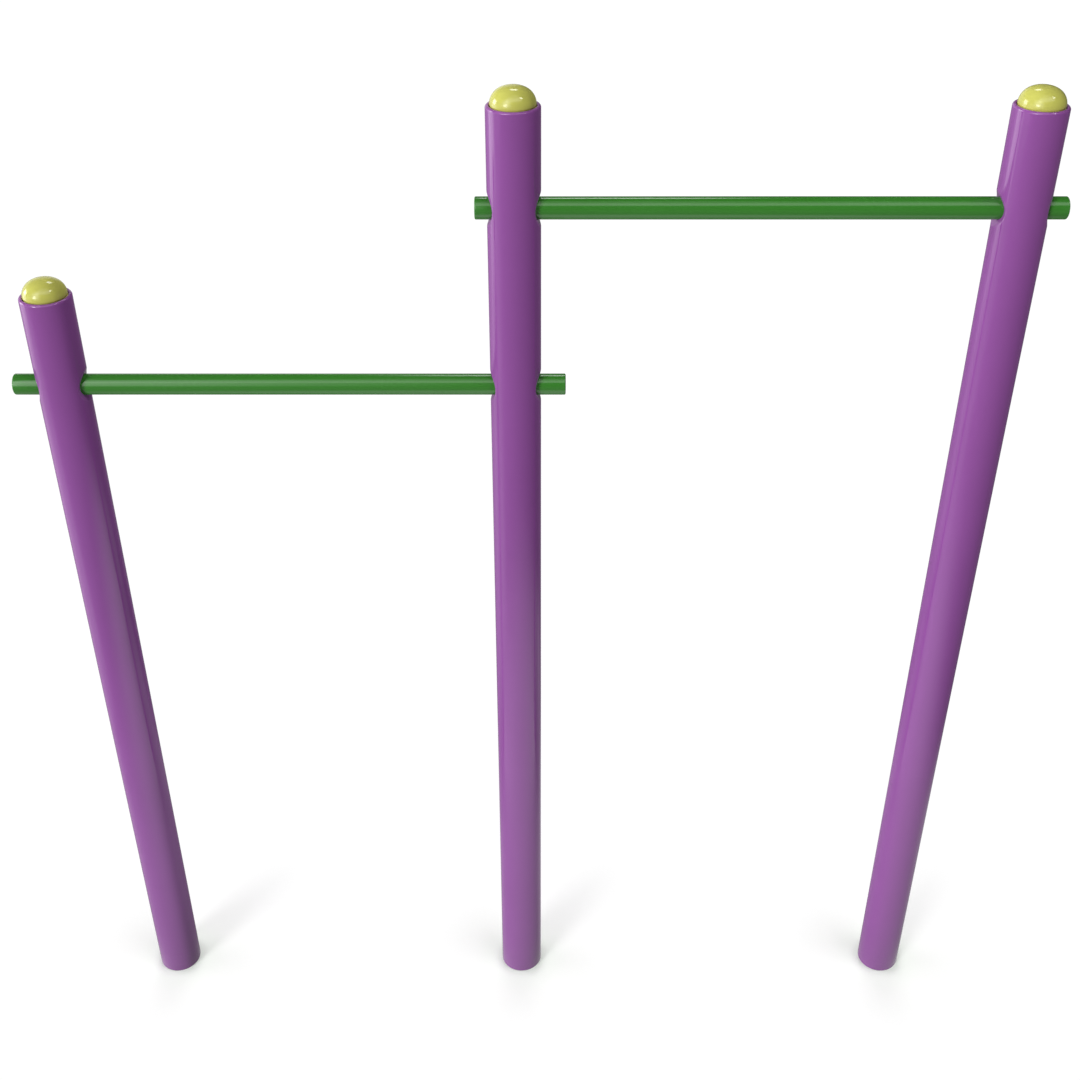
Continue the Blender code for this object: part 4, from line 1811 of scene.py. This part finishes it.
@dataclass
class Studio:
    """Pale floor with painted shadows and a painted pool of light, plain soft light and the camera."""

    glows: tuple[Glow, ...] = (
        Glow(-37, 14, 7, 6, 4, 7.0),
        Glow(-34, 25, 10, 17, 16, 4.6, 26),
        Glow(-104, 11, 9, 8, 6, 9.0),
        Glow(-99, -10, 15, 9, 6, 1.5, 5),
        Glow(-104, -10, 13, 0, 38, 1.5, 6),
        Glow(-121, -10, 7, 0, 44, 0.6, 12),
        Glow(-76, -28, 9, 8, 4, 0.45, 18),
        Glow(8, 54, 50, 11, 8, 1.9),
        Glow(70, 54, 7, 4, 4, 12.0),
        Glow(178, 49, 8, 4, 4, 7.0),
        Glow(-68, 0, 12, 12, 10, 0.7),
        Glow(-150, 6, 28, 12, 12, 0.7),
        Glow(20, 78, 60, 8, 8, 0.7),
    )
    lamps: tuple[Lamp, ...] = (
        Lamp("left", -97, 12, 50, 0.67),
        Lamp("front_left", -38, 18, 20, 0.78),
        Lamp("right_high", 58, 60, 36, 0.36),
        Lamp("back", 178, 35, 40, 0.25),
        Lamp("back_low", 178, 8, 60, 0.30),
    )
    lamp_distance: float = 5.0
    wall_level: float = 0.29
    wall_swing: float = 0.17
    wall_brightest: float = -55.0
    wall_fade: Span = (-14.0, 4.0)
    wall_top: float = 0.5
    sky_fill: float = 0.01
    floor_size: float = 60.0
    # Painted bounce light: the floor's dim glow that diffuse light sees.
    floor_fill: float = 0.02
    floor_white: float = 1.03
    floor_light: float = 0.90
    paint: float = 0.84
    paint_grain: Grain = Grain(3.0, 3.0)
    paint_spread: float = 0.01
    shadow_share: float = 0.90
    shadow_reach: float = 0.56
    short_shadow: float = 1.6
    streak: Span = (0.62, 0.79)
    streak_span: Span = (0.75, 1.0)
    # Painted contact shadow: the floor's white glow dims right round each post's foot.
    contact_shadow_share: float = 0.40
    contact_shadow_reach: Span = (0.045, 0.078)
    # Painted counter-tint: near the posts the floor's white glow shifts a little yellow-green, against
    # the purple light that they bounce.
    white_tint_reach: Span = (0.05, 0.25)
    white_tint_shift: Colour = (-0.015, 0.01, -0.035)
    # Painted counter-tint: close to the posts the floor's paper turns a little green, against the purple
    # light that they bounce into its shadows.
    paper_tint_reach: Span = (0.05, 0.14)
    paper_tint_shift: Colour = (-0.05, 0.02, -0.06)
    # Painted pool of light: a glow of the floor that only gloss sees. These are its middle, strength,
    # reach, fall towards the back, and how much sooner it fades to the right.
    pool_centre: Span = (0.14, -0.40)
    pool_level: float = 1.31
    pool_reach: Span = (0.75, 2.1)
    pool_depth: Span = (-0.2, 1.3)
    pool_skew: Span = (0.7, 1.6)
    # Painted shadows in the pool of light: behind each post, and round each post's foot, strongest
    # towards the back.
    lee_shadow_shares: tuple[float, float, float] = (0.60, 0.10, 0.45)
    lee_shadow_reach: Span = (0.5, 1.0)
    lee_shadow_side: Span = (0.1, 1.0)
    foot_shadow_share: float = 0.60
    foot_shadow_reach: Span = (0.08, 0.90)
    foot_shadow_side: Span = (-1.6, 0.2)
    camera_place: tuple[float, float, float] = (0.0486, -2.5649, 3.0380)
    camera_pitch: float = 56.38
    focal_length: float = 47.711
    sensor_width: float = 36.0

    def build(self) -> None:
        """Builds the studio."""
        self.world()
        self.floor()
        for lamp in self.lamps:
            self.hang(lamp)
        self.camera()
        view = bpy.context.scene.view_settings
        view.view_transform = "Standard"
        LOG.info("studio: %d lamps, %d glows", len(self.lamps), len(self.glows))

    def world(self) -> None:
        """White to the camera; panes of light to gloss; an even level to everything else."""
        world = bpy.data.worlds.new("studio")
        world.use_nodes = True
        bpy.context.scene.world = world
        graph = Graph(world.node_tree)
        x, y, z = graph.parts(graph.field(graph.add("ShaderNodeTexCoord"), "Generated"))
        azimuth = graph.math("ARCTAN2", x, -y)
        elevation = graph.math("ARCSINE", graph.math("MAXIMUM", graph.math("MINIMUM", z, 1.0), -1.0))
        wall = graph.math("COSINE", azimuth - math.radians(self.wall_brightest))
        low, high = (math.radians(v) for v in self.wall_fade)
        total = wall * self.wall_swing + self.wall_level
        total = total * graph.ramp(elevation, low, high, 1.0, self.wall_top)
        for glow in self.glows:
            total = total + glow.light(graph, azimuth, elevation)
        path = graph.add("ShaderNodeLightPath")
        seen = graph.math("MAXIMUM", graph.field(path, "Is Camera Ray"),
                          graph.field(path, "Is Transmission Ray"))
        gloss = graph.field(path, "Is Glossy Ray")
        level = gloss * total + (1.0 - gloss) * self.sky_fill
        level = seen + (1.0 - seen) * level
        sky = graph.add("ShaderNodeBackground", {"Color": (1.0, 1.0, 1.0, 1.0), "Strength": level})
        graph.add("ShaderNodeOutputWorld", {"Surface": graph.field(sky)})

    def floor(self) -> None:
        """Lays the floor."""
        half = self.floor_size / 2
        corners = [(-half, -half, 0.0), (half, -half, 0.0), (half, half, 0.0), (-half, half, 0.0)]
        mesh = bpy.data.meshes.new("floor")
        mesh.from_pydata(corners, [], [(0, 1, 2, 3)])
        floor = bpy.data.objects.new("floor", mesh)
        bpy.context.scene.collection.objects.link(floor)
        mesh.materials.append(self.floor_white_material())

    def floor_white_material(self) -> bpy.types.Material:
        """White with soft lamp shadows and a painted contact shadow to the camera, a painted pool of
        light to gloss and a dim painted glow to other light.

        Returns:
            The material.
        """
        material = bpy.data.materials.new("floor_white")
        material.use_nodes = True
        graph = Graph(material.node_tree)
        where = graph.field(graph.add("ShaderNodeTexCoord"), "Object")
        east, north, _ = graph.parts(where)
        path = graph.add("ShaderNodeLightPath")
        # Painted bounce light: diffuse light sees the floor as a dim glow.
        painted_bounce_glow = graph.add("ShaderNodeEmission", {"Strength": self.floor_fill})
        shown = self.paper(graph, where, east, north)
        shown = graph.shader_mix(graph.field(path, "Is Diffuse Ray"), shown, graph.field(painted_bounce_glow))
        # Gloss sees the floor as a painted pool of light.
        painted_light_pool = self.painted_light_pool(graph, east, north)
        shown = graph.shader_mix(graph.field(path, "Is Glossy Ray"), shown, painted_light_pool)
        graph.add("ShaderNodeOutputMaterial", {"Surface": shown})
        return material

    def painted_light_pool(self, graph: Graph, east: Field, north: Field) -> Field:
        """A painted pool of light round the object that only gloss sees, with painted shadows behind it
        and round the posts' feet.

        Args:
            graph: The floor's graph.
            east: How far along X the floor is.
            north: How far along Y it is.

        Returns:
            The shader.
        """
        skewed = graph.math("MAXIMUM", east - self.pool_skew[0], 0.0)
        depth = north - skewed * self.pool_skew[1]
        level = graph.ramp(depth, *self.pool_depth, self.pool_level, 0.0)
        # Painted shadows: the pool dims behind each post and round its foot.
        for place, lee_shadow_share in zip(PLACES, self.lee_shadow_shares):
            away = graph.distance(east - place.x, north)
            back = north / away
            lee_shadow = graph.ramp(away, *self.lee_shadow_reach, lee_shadow_share, 0.0)
            lee_shadow = lee_shadow * graph.ramp(back, *self.lee_shadow_side, 0.0, 1.0)
            foot = graph.ramp(away, *self.foot_shadow_reach, self.foot_shadow_share, 0.0)
            foot = foot * graph.ramp(back, *self.foot_shadow_side, 0.0, 1.0)
            level = level * (1.0 - lee_shadow) * (1.0 - foot)
        reach = graph.distance(east - self.pool_centre[0], north - self.pool_centre[1])
        share = graph.ramp(reach, *self.pool_reach, 1.0, 0.0)
        lit = graph.add("ShaderNodeEmission", {"Strength": level})
        clear = graph.add("ShaderNodeBsdfTransparent")
        return graph.shader_mix(share, graph.field(clear), graph.field(lit))

    def paper(self, graph: Graph, where: Field, east: Field, north: Field) -> Field:
        """White that takes the lamps' shadows near the posts, with a painted contact shadow and painted
        counter-tints close to them.

        Args:
            graph: The floor's graph.
            where: The floor's coordinates.
            east: How far along X the floor is.
            north: How far along Y it is.

        Returns:
            The shader.
        """
        nearest: Value = self.floor_size
        reckoned: Value = self.floor_size
        for place in PLACES:
            beside = east - place.x
            away = graph.distance(beside, north)
            nearest = graph.math("MINIMUM", nearest, away)
            along = (beside * self.streak[0] + north * self.streak[1]) / away
            stretch = graph.ramp(along, *self.streak_span, self.short_shadow, 1.0)
            reckoned = graph.math("MINIMUM", reckoned, away * stretch)
        held = graph.ramp(reckoned, 0.0, self.shadow_reach, self.shadow_share, 0.0)
        # Painted contact shadow round each post's foot.
        painted_contact_shadow = graph.ramp(nearest, *self.contact_shadow_reach, self.contact_shadow_share, 0.0)
        # Painted counter-tint of the white glow, against the posts' purple bounce light.
        painted_white_tint = graph.ramp(nearest, *self.white_tint_reach, 1.0, 0.0)
        # Painted counter-tint of the paper close to the posts, against their purple bounce light.
        painted_paper_tint = graph.ramp(nearest, *self.paper_tint_reach, 1.0, 0.0)
        grain = self.paint_grain.on(graph, where) * self.paint_spread
        shade = (grain + (self.paint - self.paint_spread / 2)) * held
        paint = graph.add("ShaderNodeBsdfDiffuse", {
            "Color": graph.point(*(shade * (painted_paper_tint * shift + 1.0) for shift in self.paper_tint_shift)),
        })
        white = graph.add("ShaderNodeEmission", {
            "Color": graph.point(*(painted_white_tint * shift + 1.0 for shift in self.white_tint_shift)),
            "Strength": (self.floor_white - shade * self.floor_light) * (1.0 - painted_contact_shadow),
        })
        both = graph.add("ShaderNodeAddShader", {0: graph.field(white), 1: graph.field(paint)})
        return graph.field(both)

    def hang(self, lamp: Lamp) -> None:
        """Hangs one soft lamp that lights surfaces but doesn't show in gloss.

        Args:
            lamp: The lamp.
        """
        data = bpy.data.lights.new(lamp.name, "SUN")
        data.energy = math.pi * lamp.level
        data.angle = math.radians(lamp.spread)
        light = bpy.data.objects.new(lamp.name, data)
        azimuth, elevation = math.radians(lamp.azimuth), math.radians(lamp.elevation)
        towards = Vector((
            math.sin(azimuth) * math.cos(elevation),
            -math.cos(azimuth) * math.cos(elevation),
            math.sin(elevation),
        ))
        light.location = towards * self.lamp_distance
        light.rotation_euler = towards.to_track_quat("Z", "Y").to_euler()
        light.visible_glossy = False
        bpy.context.scene.collection.objects.link(light)

    def camera(self) -> None:
        """The camera at the photograph's viewing angle."""
        data = bpy.data.cameras.new("camera")
        data.lens = self.focal_length
        data.sensor_width = self.sensor_width
        camera = bpy.data.objects.new("camera", data)
        camera.location = self.camera_place
        camera.rotation_euler = (math.radians(self.camera_pitch), 0.0, 0.0)
        bpy.context.scene.collection.objects.link(camera)
        bpy.context.scene.camera = camera


# Putting it up


def bars() -> list[BarTube]:
    """The two bars, as long as their CAD nodes.

    Returns:
        The low bar and the high bar.
    """
    made = []
    for node, level, posts in (("low_bar", Level.LOW, PLACES[:2]), ("high_bar", Level.HIGH, PLACES[1:])):
        low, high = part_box(node)
        made.append(
            BarTube(node + "_tube", node, low.x, high.x, level, tuple(place.x for place in posts))
        )
    return made


def plugs() -> list[PushInPlug]:
    """The posts' caps and the bars' end plugs.

    Returns:
        All seven.
    """
    made = []
    for place in PLACES:
        node = place.name + "_cap"
        made.append(PushInPlug(
            node + "_dome", node, Slot.CAP, CAP_SIZES, CAP_BASE,
            Matrix.Translation((place.x, 0.0, place.height)),
        ))
    for bar in bars():
        for side, x, turn in (("left", bar.left, -1), ("right", bar.right, 1)):
            node = f"{bar.node}_{side}_plug"
            made.append(PushInPlug(
                node + "_head", node, Slot.PLUG, END_PLUG_SIZES, -END_PLUG_SIZES.crown_height,
                Matrix.Translation((x, 0.0, bar.level.value))
                @ Matrix.Rotation(turn * math.pi / 2, 4, "Y"),
            ))
    return made


def locks() -> list[CrossingLock]:
    """The locks at the crossings.

    Returns:
        One for each crossing.
    """
    made = []
    for place in PLACES:
        for level in place.levels:
            tag = place.name.replace("post", level.name.lower())
            made.append(CrossingLock(tag, place.x, level))
    return made


def main() -> None:
    """Builds each sub-assembly in order, then the studio."""
    logging.basicConfig(level=logging.INFO, format="%(message)s")
    paint = Paintbox()
    mouths = DishRule().tree()
    for place in PLACES:
        PostShell(place).build(mouths, paint)
    tube = BarTube.tree()
    for bar in bars():
        bar.build(tube, paint)
    crown, fins = PushInPlug.crown_tree(), PushInPlug.fin_tree()
    for plug in plugs():
        plug.build(crown, fins, paint)
    thread = CrossingLock.thread_tree()
    for lock in locks():
        lock.bolt(thread, paint)
        lock.washer(paint)
    CarriedOver().build(paint)
    Studio().build()
    LOG.info("sizes written")


if __name__ == "__main__":
    main()
